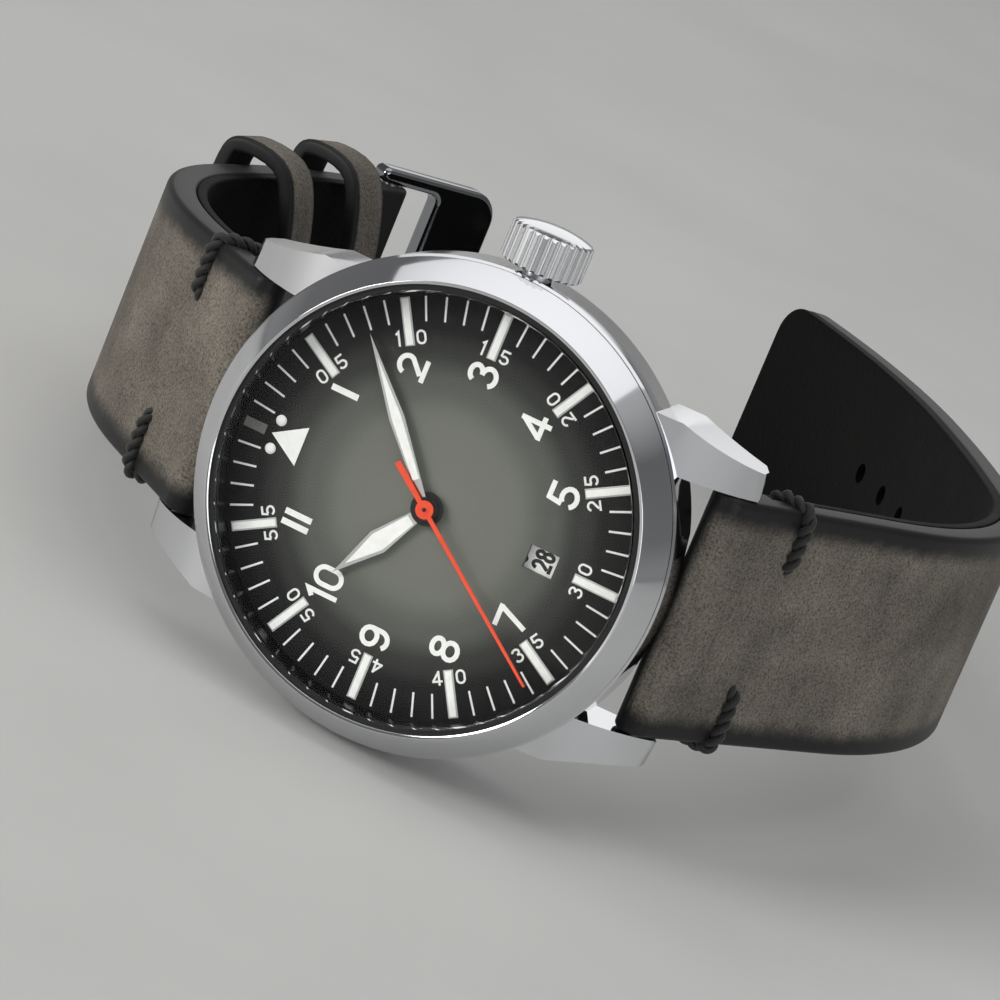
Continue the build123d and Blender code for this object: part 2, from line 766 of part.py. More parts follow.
with BuildPart() as fourth_wheel:
    spoked_gear(fourth_teeth, fourth_module, fourth_low, fourth_low + wheel_thickness, first=escape_direction)
    gear(fourth_leaves, third_module, third_low - air / 2, third_low + wheel_thickness + air / 2,
         first=third_direction + 180 / fourth_leaves)
    tube(seconds_arbor_radius, 0, bridge_high - jewel_thickness, seconds_low)
keep(fourth_wheel, "fourth_wheel")

with BuildPart() as escape_wheel:
    with BuildSketch(level(escape_low)):
        with BuildLine():
            saw = []
            for number in range(escape_teeth):
                angle = number * 360 / escape_teeth
                for radius_share, turn_share in escape_tooth_shares:
                    across, along = polar(escape_radius * radius_share, angle + turn_share * 360 / escape_teeth)
                    saw.append((escape_x + across, escape_y + along))
            Polyline(*saw, close=True)
        make_face()
        with Locations((escape_x, escape_y)):
            Circle(escape_radius - wheel_rim - wheel_rim, mode=Mode.SUBTRACT)
            Circle(wheel_hub)
            with PolarLocations(escape_radius * escape_hole_share, escape_hole_count):
                Rectangle(escape_radius, spoke_width)
    extrude(amount=escape_thickness)
    gear(escape_leaves, fourth_module, fourth_low - running_fit, escape_low, escape_x, escape_y,
         first=escape_direction + 180 + 180 / escape_leaves)
    arbor(escape_x, escape_y, bridge_high - jewel_thickness, plate_low + jewel_thickness)
keep(escape_wheel, "escape_wheel")

with BuildPart() as barrel:
    drum_outer = barrel_teeth / 2 * barrel_module - drum_inset
    drum_inner = drum_outer - drum_wall
    gear(barrel_teeth, barrel_module, barrel_wheel_low, barrel_wheel_high, barrel_x, barrel_y,
         first=barrel_direction + 180)
    tube(drum_outer, 0, barrel_low, barrel_high, barrel_x, barrel_y)
    tube(drum_inner, 0, barrel_low + drum_floor, barrel_high, barrel_x, barrel_y, mode=Mode.SUBTRACT)
    tube(barrel_arbor_radius + running_fit, 0, barrel_low - overrun, barrel_wheel_high - drum_floor,
         barrel_x, barrel_y, mode=Mode.SUBTRACT)
keep(barrel, "barrel")

with BuildPart() as mainspring:
    spiral(barrel_x, barrel_y, barrel_low + drum_floor + running_fit, barrel_high - running_fit,
           spring_inner_radius, spring_pitch, spring_turns, spring_strip)
keep(mainspring, "mainspring")

with BuildPart() as barrel_arbor:
    tube(barrel_arbor_radius, 0, ratchet_high, barrel_wheel_high - drum_floor - running_fit, barrel_x, barrel_y)
keep(barrel_arbor, "barrel_arbor")

with BuildPart() as ratchet_wheel:
    ratchet_angle = degrees(asin(barrel_y / winding_distance))
    gear(ratchet_teeth, winding_module, ratchet_low, ratchet_high, barrel_x, barrel_y, first=-ratchet_angle)
keep(ratchet_wheel, "ratchet_wheel")

with BuildPart() as crown_wheel:
    gear(crown_wheel_teeth, winding_module, ratchet_low, ratchet_high, crown_wheel_x, 0,
         first=180 - ratchet_angle + 180 / crown_wheel_teeth)
    tube(wheel_hub + running_fit, 0, ratchet_low - air, ratchet_high + air, crown_wheel_x, 0, mode=Mode.SUBTRACT)
keep(crown_wheel, "crown_wheel")

# Escapement and balance
line_angle = degrees(asin((balance_y - escape_y) * fork_share / fork_distance))
fork_angle = 180 - line_angle if balance_x < escape_x else line_angle
with BuildPart() as pallet_fork:
    arm = fork_distance - escape_radius
    lever_x, lever_y = polar(1, fork_angle)
    lever_line = lever_x * watch.x_dir + lever_y * watch.y_dir
    with BuildSketch(Plane(origin=world(fork_x, fork_y, escape_low), x_dir=lever_line, z_dir=watch.z_dir)):
        Circle(wheel_rim)
        Rectangle(fork_distance, arbor_radius * 2, align=(Align.MIN, Align.CENTER))
        Rectangle(arbor_radius * 2, escape_radius * fork_head_share)
        for way in (-1, 1):
            with Locations((-arm / 2, way * escape_radius * fork_pallet_share)):
                Rectangle(arm * fork_stone_share, arbor_radius * 2)
    extrude(amount=escape_thickness)
    arbor(fork_x, fork_y, escape_low - pivot_length, plate_low + jewel_thickness)
keep(pallet_fork, "pallet_fork")

with BuildPart() as balance_wheel:
    tube(balance_radius, balance_radius - balance_rim, balance_low, balance_low + balance_thickness,
         balance_x, balance_y)
    with BuildSketch(level(balance_low)):
        with Locations((balance_x, balance_y)):
            Circle(wheel_hub)
            with PolarLocations(0, 3):
                Rectangle(balance_radius - balance_rim / 2, spoke_width, align=(Align.MIN, Align.CENTER))
    extrude(amount=balance_thickness)
    tube(roller_radius, 0, escape_low + escape_thickness + running_fit,
         escape_low + 3 * escape_thickness, balance_x, balance_y)
    arbor(balance_x, balance_y, cock_high - jewel_thickness, plate_low + jewel_thickness)
keep(balance_wheel, "balance_wheel")

with BuildPart() as hairspring:
    hairspring_low = (cock_high + balance_low) / 2 - running_fit
    spiral(balance_x, balance_y, hairspring_low, hairspring_low + air, hairspring_inner, hairspring_pitch,
           hairspring_turns, hairspring_strip)
    tube(hairspring_inner + hairspring_strip, arbor_radius, hairspring_low, hairspring_low + air,
         balance_x, balance_y)
keep(hairspring, "hairspring")

# Winding rotor on its ball bearing, below the automatic bridge
with BuildPart() as automatic_bridge:
    auto_radius = movement_radius - plate_rim - overrun
    tube(auto_radius, 0, auto_bridge_low, auto_bridge_high)
    tube(balance_radius, 0, auto_bridge_low - overrun, auto_bridge_high + overrun, balance_x, balance_y,
         mode=Mode.SUBTRACT)
    foot_distance = auto_radius - wheel_hub - air
    with BuildSketch(level(auto_bridge_high)):
        with Locations(polar(foot_distance, 180), polar(foot_distance, 100)):
            Circle(wheel_hub)
    extrude(amount=bridge_low - auto_bridge_high)
keep(automatic_bridge, "automatic_bridge")

with BuildPart() as rotor_bearing:
    tube(bearing_radius, wheel_hub, rotor_low, auto_bridge_low)
keep(rotor_bearing, "rotor_bearing")

with BuildPart() as rotor_screw:
    tube(wheel_hub * 2, 0, rotor_low - rotor_plate_thickness, rotor_low)
    tube(wheel_hub - fit, 0, rotor_low, auto_bridge_low)
keep(rotor_screw, "rotor_screw")

with BuildPart() as rotor:
    rotor_inner = bearing_radius + running_fit
    rotor_outer = movement_radius - loose
    with BuildSketch(level(rotor_low)):
        Circle(rotor_outer)
        with Locations((rotor_outer, 0)):
            Rectangle(2 * rotor_outer, 2 * rotor_outer, mode=Mode.SUBTRACT)
        Circle(rotor_inner + overrun)
        Circle(rotor_inner, mode=Mode.SUBTRACT)
    extrude(amount=rotor_plate_thickness)
    with BuildSketch(level(rotor_low + rotor_plate_thickness)):
        Circle(rotor_outer)
        Circle(auto_radius + loose, mode=Mode.SUBTRACT)
        with Locations((rotor_outer, 0)):
            Rectangle(2 * rotor_outer, 2 * rotor_outer, mode=Mode.SUBTRACT)
    extrude(amount=rotor_weight_height - rotor_plate_thickness)
keep(rotor, "rotor")

# Motion work
with BuildPart() as cannon_pinion:
    cannon_inner = centre_tube_outer
    cannon_outer = cannon_inner + cannon_wall
    cannon_low = motion_floor + air
    gear(cannon_leaves, cannon_module, cannon_low, cannon_low + 2 * wheel_thickness,
         first=minute_wheel_direction + 180 / cannon_leaves)
    tube(cannon_outer, 0, cannon_low, minute_high)
    tube(cannon_inner, 0, cannon_low - overrun, minute_high + overrun, mode=Mode.SUBTRACT)
keep(cannon_pinion, "cannon_pinion")

with BuildPart() as minute_wheel:
    minute_wheel_high = cannon_low + wheel_thickness
    gear(minute_teeth, cannon_module, cannon_low, minute_wheel_high, minute_x, minute_y,
         first=minute_wheel_direction + 180)
    gear(minute_leaves, hour_module, minute_wheel_high, plate_high - running_fit, minute_x, minute_y,
         first=minute_wheel_direction + 180 + 180 / minute_leaves)
    tube(arbor_radius + fit, 0, cannon_low - overrun, plate_high + overrun, minute_x, minute_y,
         mode=Mode.SUBTRACT)
keep(minute_wheel, "minute_wheel")

with BuildPart() as hour_wheel:
    pipe_inner = cannon_outer + running_fit
    pipe_outer = pipe_inner + hour_pipe_wall
    hour_wheel_low = cannon_low + 2 * wheel_thickness + running_fit
    gear(hour_teeth, hour_module, hour_wheel_low, hour_wheel_low + wheel_thickness, first=minute_wheel_direction)
    tube(pipe_outer, 0, hour_wheel_low, hour_high)
    tube(pipe_inner, 0, hour_wheel_low - overrun, hour_high + overrun, mode=Mode.SUBTRACT)
keep(hour_wheel, "hour_wheel")

# Date disc
with BuildPart() as date_disc:
    disc_low = date_floor + running_fit
    with BuildSketch(level(disc_low)):
        Circle(date_outer)
        Circle(date_inner, mode=Mode.SUBTRACT)
        with PolarLocations(date_inner, date_days):
            Circle(date_tooth, mode=Mode.SUBTRACT)
    extrude(amount=date_thickness)
keep(date_disc, "date_disc")

# Dial with its hole and date window, and the raised markers
with BuildPart() as dial:
    tube(dial_radius, dial_hole_radius, dial_low, dial_high)
    with BuildSketch(level(dial_low - overrun)):
        with Locations((0, -date_window_radius)):
            Rectangle(date_window_width, date_window_height)
    extrude(amount=dial_thickness + 2 * overrun, mode=Mode.SUBTRACT)
keep(dial, "dial")

with BuildPart() as dial_markers:
    with BuildSketch(level(dial_high)):
        for minute in range(60):
            inner = tick_inner
            width = tick_width
            if minute % 5 == 0:
                inner = bar_inner if minute else twelve_bar_inner
                width = bar_width
            angle = 90 - 6 * minute
            with Locations(polar((track_outer + inner) / 2, angle)):
                Rectangle(track_outer - inner, width, rotation=angle)
        with BuildLine():
            Polyline((0, triangle_tip), (triangle_width / 2, triangle_base), (-triangle_width / 2, triangle_base),
                     close=True)
        make_face()
        with Locations((-dot_distance, dot_height), (dot_distance, dot_height)):
            Circle(dot_radius)
    extrude(amount=marker_thickness)
keep(dial_markers, "dial_markers")


def turned_point(along, across, angle):
    """A point on a hand from its place along and across it, the hand's angle counted clockwise from twelve."""
    turn = radians(angle)
    return along * sin(turn) + across * cos(turn), along * cos(turn) - across * sin(turn)


def hand_outline(points, angle):
    """Both flanks of a hand from the points of one flank."""
    flank = [turned_point(along, across, angle) for along, across in points]
    other = [turned_point(along, -across, angle) for along, across in reversed(points) if across]
    return flank + other


def lozenge_hand(reach, width, neck, angle, low, high, hub, bore):
    """A lozenge hand: narrow at the hub, widest at the shoulder and pointed at the tip."""
    points = [(0, neck / 2), (reach * hand_shoulder_share, width / 2), (reach, 0)]
    plate(hand_outline(points, angle), low, high)
    tube(hub, 0, low, high)
    tube(bore, 0, low - overrun, high + overrun, mode=Mode.SUBTRACT)


def lozenge_lume(reach, width, neck, angle, high):
    """The luminous filling that lies on a hand, inside its polished frame."""
    start = reach * lume_start_share
    shoulder = reach * hand_shoulder_share
    start_half = neck / 2 + (width - neck) / 2 * start / shoulder
    points = [(start, start_half - hand_frame / 2), (shoulder, width / 2 - hand_frame), (reach * lume_end_share, 0)]
    plate(hand_outline(points, angle), high, high + lume_thickness)


# Hands and their luminous fillings
with BuildPart() as hour_hand:
    lozenge_hand(hour_hand_reach, hour_hand_width, hour_hand_neck, hour_angle, hour_low, hour_high,
                 pipe_outer + hour_pipe_wall, pipe_outer)
keep(hour_hand, "hour_hand")

with BuildPart() as hour_hand_lume:
    lozenge_lume(hour_hand_reach, hour_hand_width, hour_hand_neck, hour_angle, hour_high)
keep(hour_hand_lume, "hour_hand_lume")

with BuildPart() as minute_hand:
    lozenge_hand(minute_hand_reach, minute_hand_width, minute_hand_neck, minute_angle, minute_low, minute_high,
                 pipe_inner + hour_pipe_wall, cannon_outer)
keep(minute_hand, "minute_hand")

with BuildPart() as minute_hand_lume:
    lozenge_lume(minute_hand_reach, minute_hand_width, minute_hand_neck, minute_angle, minute_high)
keep(minute_hand_lume, "minute_hand_lume")

with BuildPart() as seconds_hand:
    plate(hand_outline([(-seconds_hand_tail, seconds_tail_width / 2), (0, seconds_neck_width / 2),
                        (seconds_hand_reach, seconds_tip_width / 2)], seconds_angle), seconds_low, seconds_high)
    tube(seconds_hub_radius, 0, seconds_low, seconds_high)
keep(seconds_hand, "seconds_hand")


# Strap: where its middle line runs in the side plane
def station(length, heading, bends, distance):
    """Place and heading of a strap's middle line at a distance from its spring bar."""
    across, height, left = bar_distance, bar_height, distance
    for share, turn in bends:
        run = min(left, share * length)
        if turn:
            radius = share * length / radians(-turn)
            ahead = heading - degrees(run / radius)
            across += radius * (cos(radians(ahead)) - cos(radians(heading)))
            height -= radius * (sin(radians(heading)) - sin(radians(ahead)))
            heading = ahead
        else:
            across += run * sin(radians(heading))
            height -= run * cos(radians(heading))
        left -= run
    return across, height, heading


class StrapPath:
    """A strap's middle line in the side plane, towards six or towards twelve o'clock."""

    def __init__(self, way, length, heading, bends):
        self.way = way
        self.length = length
        self.heading = heading
        self.bends = bends

    def point(self, distance, shift=0):
        """The point a shift outside the middle line, in the side plane."""
        across, height, heading = station(self.length, self.heading, self.bends, distance)
        turn = radians(heading)
        return self.way * (across + shift * cos(turn)), height + shift * sin(turn)

    def line(self, shift, start=0, end=None):
        """Draw the line that keeps a shift from the middle line, between two distances from the bar."""
        last = self.length if end is None else end
        done = 0
        for share, turn in self.bends:
            begin = max(start, done)
            done += share * self.length
            finish = min(last, done)
            if turn:
                middle = (begin + finish) / 2
                ThreePointArc(self.point(begin, shift), self.point(middle, shift), self.point(finish, shift))
            else:
                Line(self.point(begin, shift), self.point(finish, shift))

    def plane(self, distance, shift=0):
        """The plane in the strap: local x across the watch, z out of the wrist."""
        heading = radians(station(self.length, self.heading, self.bends, distance)[2])
        y, height = self.point(distance, shift)
        normal = self.way * cos(heading) * watch.y_dir + sin(heading) * watch.z_dir
        return Plane(origin=world(0, y, height), x_dir=watch.x_dir, z_dir=normal)


long_path = StrapPath(-1, long_strap_length, long_strap_heading, long_bend_shares)
short_path = StrapPath(1, short_strap_length, short_strap_heading, short_bend_shares)


def taper_slope(path, end_width):
    """How fast each side of a strap narrows with its drop below the spring bar."""
    drop = bar_height - path.point(path.length)[1]
    return (strap_width - end_width) / 2 / drop


def taper(path, end_width):
    """Trim a strap to the width that narrows from its spring bar to its end."""
    high = bar_height + 2 * strap_loop_radius
    low = path.point(path.length)[1] - 2 * strap_loop_radius
    face = Plane(origin=(0, 0, 0), x_dir=watch.x_dir, z_dir=-watch.y_dir)
    wide = strap_half
    narrow = strap_half - taper_slope(path, end_width) * (bar_height - low)
    with BuildSketch(face) as front:
        with BuildLine():
            Polyline((-wide, high), (-wide, bar_height), (-narrow, low), (narrow, low), (wide, bar_height),
                     (wide, high), close=True)
        make_face()
    extrude(front.sketch, amount=2 * path.length, both=True, mode=Mode.INTERSECT)


def strap_leather(path, outer, inner, end_width, lining_end, end_loop):
    """The outer leather of a strap, looped round its spring bar and, if asked, round the buckle's bar."""
    split = lining_thickness - inner
    last = path.length
    with BuildSketch(side) as profile:
        with BuildLine():
            path.line(outer)
            if lining_end < last:
                Line(path.point(last, outer), path.point(last, -inner))
                path.line(-inner, lining_end)
                Line(path.point(lining_end, -inner), path.point(lining_end, split))
            else:
                Line(path.point(last, outer), path.point(last, split))
            path.line(split, lining_start, lining_end)
            Line(path.point(lining_start, split), path.point(lining_start, -inner))
            Line(path.point(lining_start, -inner), path.point(0, -inner))
            Line(path.point(0, -inner), path.point(0, outer))
        make_face()
        with Locations(path.point(0)):
            Circle(strap_loop_radius)
            Circle(strap_bore, mode=Mode.SUBTRACT)
        if end_loop:
            with Locations(path.point(last)):
                Circle(strap_loop_radius)
                Circle(strap_bore, mode=Mode.SUBTRACT)
    extrude(profile.sketch, amount=strap_half, both=True)
    taper(path, end_width)


def strap_lining(path, inner, end_width, lining_end):
    """The lining that backs a strap towards the wrist."""
    split = lining_thickness - inner
    with BuildSketch(side) as profile:
        with BuildLine():
            path.line(split, lining_start, lining_end)
            Line(path.point(lining_end, split), path.point(lining_end, -inner))
            path.line(-inner, lining_start, lining_end)
            Line(path.point(lining_start, -inner), path.point(lining_start, split))
        make_face()
    extrude(profile.sketch, amount=strap_half, both=True)
    taper(path, end_width)


def punch(path):
    """The round holes that the buckle's tongue goes through."""
    for number in range(hole_count):
        distance = path.length - hole_from_tip - number * hole_pitch
        with BuildSketch(path.plane(distance)) as hole:
            Circle(hole_radius)
        extrude(hole.sketch, amount=hole_depth, both=True, mode=Mode.SUBTRACT)


def round_tip(path, end_width):
    """Round the two corners of a strap's tip."""
    with BuildSketch(path.plane(path.length)) as corners:
        for way in (-1, 1):
            centre = (way * (end_width / 2 - tip_corner), -path.way * tip_corner)
            with Locations(centre):
                Rectangle(2 * tip_corner + overrun, 2 * tip_corner + overrun)
            with Locations((way * (end_width / 2 - tip_corner), -path.way * 2 * tip_corner)):
                Rectangle(2 * tip_corner + 2 * overrun, 2 * tip_corner, mode=Mode.SUBTRACT)
            with Locations((way * (end_width / 2 - 2 * tip_corner), -path.way * tip_corner)):
                Rectangle(2 * tip_corner, 2 * tip_corner + 2 * overrun, mode=Mode.SUBTRACT)
            with Locations(centre):
                Circle(tip_corner, mode=Mode.SUBTRACT)
    extrude(corners.sketch, amount=hole_depth, both=True, mode=Mode.SUBTRACT)


def stitches(path, outer, inner, end_width):
    """Thick stitches across both edges of a strap near its spring bar, each a bracket round the edge."""
    near = stitch_distance - stitch_width / 2
    highest = max(path.point(near, outer)[1], path.point(near, -inner)[1])
    half = strap_half - taper_slope(path, end_width) * (bar_height - highest) + fit
    base = path.plane(near)
    frame = Plane(origin=base.origin, x_dir=watch.x_dir, z_dir=-base.y_dir if path.way < 0 else base.y_dir)
    rise = 1 if frame.y_dir.dot(base.z_dir) > 0 else -1
    for way in (-1, 1):
        points = [(stitch_inset, outer), (half, outer), (half, -inner), (half + stitch_height, -inner),
                  (half + stitch_height, outer + stitch_height), (stitch_inset, outer + stitch_height)]
        with BuildSketch(frame) as bracket:
            with BuildLine():
                Polyline(*[(way * across, rise * up) for across, up in points], close=True)
            make_face()
        extrude(bracket.sketch, amount=stitch_width)


# Long strap towards six o'clock
with BuildPart() as long_strap:
    strap_leather(long_path, long_strap_outer, long_strap_inner, long_strap_tip_width, long_strap_length, False)
    punch(long_path)
    round_tip(long_path, long_strap_tip_width)
keep(long_strap, "long_strap")

with BuildPart() as long_strap_lining:
    strap_lining(long_path, long_strap_inner, long_strap_tip_width, long_strap_length)
    punch(long_path)
    round_tip(long_path, long_strap_tip_width)
keep(long_strap_lining, "long_strap_lining")

with BuildPart() as long_strap_stitches:
    stitches(long_path, long_strap_outer, long_strap_inner, long_strap_tip_width)
keep(long_strap_stitches, "long_strap_stitches")

# Short strap towards twelve o'clock, slotted at its end for the buckle's tongue
with BuildPart() as short_strap:
    strap_leather(short_path, short_strap_outer, short_strap_inner, short_strap_end_width, short_lining_end, True)
    with BuildSketch(short_path.plane(short_strap_length)) as slot:
        with Locations((0, 0)):
            Rectangle(tongue_slot, 2 * tongue_slot_length)
    extrude(slot.sketch, amount=hole_depth, both=True, mode=Mode.SUBTRACT)
keep(short_strap, "short_strap")

with BuildPart() as short_strap_lining:
    strap_lining(short_path, short_strap_inner, short_strap_end_width, short_lining_end)
keep(short_strap_lining, "short_strap_lining")

with BuildPart() as short_strap_stitches:
    stitches(short_path, short_strap_outer, short_strap_inner, short_strap_end_width)
keep(short_strap_stitches, "short_strap_stitches")

# Spring bars in the lugs
with BuildPart() as lug_spring_bars:
    for way in (-1, 1):
        with BuildSketch(side):
            with Locations((way * bar_distance, bar_height)):
                Circle(bar_radius)
        extrude(amount=lug_inner - air, both=True)
        with BuildSketch(side):
            with Locations((way * bar_distance, bar_height)):
                Circle(bar_pin_radius)
        extrude(amount=lug_inner + bar_pin_length, both=True)
keep(lug_spring_bars, "lug_spring_bars")


def keeper(place, gap):
    """A leather loop: flat over the strap, bowed away on the wrist side."""
    base = short_path.plane(place - keeper_band / 2)
    frame = Plane(origin=base.origin, x_dir=watch.x_dir, z_dir=base.y_dir)
    rise = 1 if frame.y_dir.dot(base.z_dir) > 0 else -1
    top = short_strap_outer + gap + keeper_thickness
    half = strap_half + keeper_side + keeper_thickness
    low = top - keeper_corner - keeper_depth
    with BuildSketch(frame) as loop:
        with BuildLine():
            Line((-half + keeper_corner, rise * top), (half - keeper_corner, rise * top))
            TangentArc((half - keeper_corner, rise * top), (half, rise * (top - keeper_corner)), tangent=(1, 0))
            Line((half, rise * (top - keeper_corner)), (half, rise * low))
            ThreePointArc((half, rise * low), (0, rise * (low - keeper_bow)), (-half, rise * low))
            Line((-half, rise * low), (-half, rise * (top - keeper_corner)))
            TangentArc((-half + keeper_corner, rise * top), (-half, rise * (top - keeper_corner)), tangent=(-1, 0))
        make_face()
        offset(amount=-keeper_thickness, mode=Mode.SUBTRACT)
    extrude(loop.sketch, amount=keeper_band)


# Keepers on the short strap: the first is sewn on, the second slides
with BuildPart() as fixed_keeper:
    keeper(fixed_keeper_place, air)
keep(fixed_keeper, "fixed_keeper")

with BuildPart() as free_keeper:
    keeper(free_keeper_place, loose)
keep(free_keeper, "free_keeper")

# Buckle frame, its bar and its tongue
bar_place = short_path.point(short_strap_length)
buckle_turn = radians(buckle_heading)
buckle_normal = cos(buckle_turn) * watch.y_dir + sin(buckle_turn) * watch.z_dir
buckle_plane = Plane(origin=world(0, *bar_place), x_dir=watch.x_dir, z_dir=buckle_normal)
arm_inner = short_strap_end_width / 2 + 2 * air
arm_outer = arm_inner + buckle_arm
buckle_side = Plane(origin=buckle_plane.origin, x_dir=buckle_plane.y_dir, z_dir=watch.x_dir)
rise = 1 if buckle_side.y_dir.dot(buckle_normal) > 0 else -1
plate_start = strap_loop_radius + buckle_window
plate_end = plate_start + buckle_plate
half_thick = buckle_thickness / 2
with BuildPart() as buckle_frame:
    with BuildSketch(buckle_side):
        with BuildLine():
            Polyline((0, -half_thick), (plate_end - half_thick, -half_thick), (plate_end, 0),
                     (plate_end - half_thick, half_thick), (0, half_thick), close=True)
        make_face()
        Circle(half_thick)
        with Locations((0, 0)):
            Rectangle(2 * buckle_back, buckle_thickness)
    extrude(amount=arm_outer, both=True)
    with BuildSketch(buckle_plane):
        Rectangle(2 * arm_inner, 2 * plate_start)
    extrude(amount=hole_depth, both=True, mode=Mode.SUBTRACT)
    with BuildSketch(buckle_side):
        Circle(bar_pin_radius + running_fit)
    extrude(amount=arm_outer - loose, both=True, mode=Mode.SUBTRACT)
    front = buckle_side.from_local_coords((2 * plate_end, 0, 0))
    fillet(buckle_frame.edges().filter_by(Axis(buckle_plane.origin, watch.x_dir)).sort_by_distance(front)[:1],
           radius=loose)
keep(buckle_frame, "buckle_frame")

with BuildPart() as buckle_spring_bar:
    with BuildSketch(buckle_side):
        Circle(bar_radius)
    extrude(amount=arm_inner - air / 2, both=True)
    with BuildSketch(buckle_side):
        Circle(bar_pin_radius)
    extrude(amount=arm_outer - loose - air, both=True)
keep(buckle_spring_bar, "buckle_spring_bar")

with BuildPart() as buckle_tongue:
    tongue_low = half_thick + air
    tongue_high = tongue_low + tongue_thickness
    with BuildSketch(buckle_side):
        Circle(tongue_ring_radius)
        with BuildLine():
            Polyline((0, 0), (tongue_ring_radius, 0), (plate_start, rise * tongue_low),
                     (plate_end, rise * tongue_low), (plate_end + tongue_thickness, rise * tongue_low),
                     (plate_end, rise * tongue_high), (plate_start - tongue_thickness, rise * tongue_high),
                     (0, rise * tongue_ring_radius), close=True)
        make_face()
        Circle(tongue_bore, mode=Mode.SUBTRACT)
    extrude(amount=tongue_width / 2, both=True)
keep(buckle_tongue, "buckle_tongue")
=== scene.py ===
# %% [markdown]
# # A pilot watch lying on its side
#
# The watch leans on its nine o'clock flank with the crown on top, and its two strap pieces curl away behind it.
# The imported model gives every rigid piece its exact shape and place. This lesson gives those pieces their
# finishes, and makes the leather, the cord stitches and the printed dial, which a plain solid can't show.
# Everything is in metres, in the model's own frame.

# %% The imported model
import json
from math import asin, cos, degrees, pi, radians, sin, sqrt

import bmesh
import bpy
from mathutils import Matrix, Vector


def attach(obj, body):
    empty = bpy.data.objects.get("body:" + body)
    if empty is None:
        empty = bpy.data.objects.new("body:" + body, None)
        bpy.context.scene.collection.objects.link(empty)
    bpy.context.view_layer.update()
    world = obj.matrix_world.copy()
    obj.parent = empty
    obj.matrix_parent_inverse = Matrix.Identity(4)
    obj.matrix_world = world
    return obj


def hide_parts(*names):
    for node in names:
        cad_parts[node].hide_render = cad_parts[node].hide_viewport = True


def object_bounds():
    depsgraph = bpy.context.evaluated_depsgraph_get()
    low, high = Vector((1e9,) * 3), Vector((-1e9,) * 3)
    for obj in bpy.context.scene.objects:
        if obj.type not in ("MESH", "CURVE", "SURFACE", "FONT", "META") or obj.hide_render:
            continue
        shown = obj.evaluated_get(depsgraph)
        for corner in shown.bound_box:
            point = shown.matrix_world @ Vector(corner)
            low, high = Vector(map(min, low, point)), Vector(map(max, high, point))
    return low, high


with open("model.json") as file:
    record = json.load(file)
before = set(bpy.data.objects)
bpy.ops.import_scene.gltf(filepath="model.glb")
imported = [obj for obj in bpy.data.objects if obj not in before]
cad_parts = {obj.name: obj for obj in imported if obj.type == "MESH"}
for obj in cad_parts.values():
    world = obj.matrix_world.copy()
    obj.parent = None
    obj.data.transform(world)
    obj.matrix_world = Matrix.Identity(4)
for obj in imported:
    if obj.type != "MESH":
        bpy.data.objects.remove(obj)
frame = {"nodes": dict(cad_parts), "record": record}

cad_low, cad_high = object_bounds()
MM = 0.001
body_of = {node: body for body, nodes in frame["record"]["behaviour"]["bodies"].items() for node in nodes}
print("size in mm:", [round((high - low) / MM, 1) for low, high in zip(cad_low, cad_high)])

# %% [markdown]
# ## The watch's own directions
#
# A watchmaker thinks in the dial's plane: three o'clock, twelve o'clock and out of the dial. The watch lies
# tilted, so one function turns such a place, in millimetres, into a point of the model. It could be an empty
# with children, but points worked out once keep every mesh at the origin, as the model's own pieces are.

# %% Places in the dial's plane
lean, roll = radians(5.713), radians(2.161)
dial_out = Vector((0, -cos(lean), sin(lean)))
to_three = cos(roll) * Vector((0, sin(lean), cos(lean))) + sin(roll) * Vector((-1, 0, 0))
to_twelve = dial_out.cross(to_three)


def turned(x, y, height):
    """A direction or a length in the watch's frame, as the model's frame has it."""
    return x * to_three + y * to_twelve + height * dial_out


def place(x, y, height=0.0):
    """A place in millimetres in the watch's frame, as a point of the model in metres."""
    return MM * turned(x, y, height)


print("the dial faces", [round(v, 3) for v in dial_out])

# %% [markdown]
# ## Camera
#
# A photographer takes such a watch from some distance with a long lens, which keeps circles round. The place
# and the three directions below were worked out from the dial's circle and the lugs, and a 162 mm lens on a
# 36 mm sensor gives the same narrow view.

# %% Camera
def in_scene(name, data):
    """An object that shows some data, linked to the scene."""
    thing = bpy.data.objects.new(name, data)
    scene.collection.objects.link(thing)
    return thing


scene = bpy.context.scene
camera_right = turned(0.37529, -0.87713, -0.29966)
camera_down = turned(-0.90083, -0.4213, 0.10497)
camera_ahead = turned(-0.21832, 0.23054, -0.94825)
camera_spot = place(80.0, -86.5, 342.6)
lens = bpy.data.cameras.new("photograph_view")
lens.lens, lens.sensor_width = 162, 36
lens.shift_x = -0.0065
lens.clip_start, lens.clip_end = 0.01, 10
camera = in_scene("photograph_view", lens)
columns = (camera_right, -camera_down, -camera_ahead)
camera.matrix_world = Matrix([[column[row] for column in columns] for row in range(3)]).to_4x4()
camera.matrix_world.translation = camera_spot
scene.camera = camera
scene.view_settings.view_transform = "Standard"
print("camera is", round(camera_spot.length, 3), "m from the watch")

# %% [markdown]
# ## Helpers for materials
#
# Every finish below is a small node tree. One function adds a node with its settings and links, and another
# turns the hex colours that a painter would write into the linear light that shaders use. Patterns read the
# object's own coordinates, so they stay on a piece when it moves, and their scale comes from a real size.


# %% Colours and nodes
def colour(code):
    """A colour in sRGB hex as linear red, green, blue and alpha."""
    parts = [int(code[first:first + 2], 16) / 255 for first in (1, 3, 5)]
    return tuple(c / 12.92 if c <= 0.04045 else ((c + 0.055) / 1.055) ** 2.4 for c in parts) + (1.0,)


def grey(value):
    """A plain value as a ramp's colour."""
    return (value, value, value, 1.0)


def scale_for(size_mm):
    """The scale of a pattern whose blobs or cells are about as wide as a size in millimetres."""
    return 1 / (size_mm * MM)


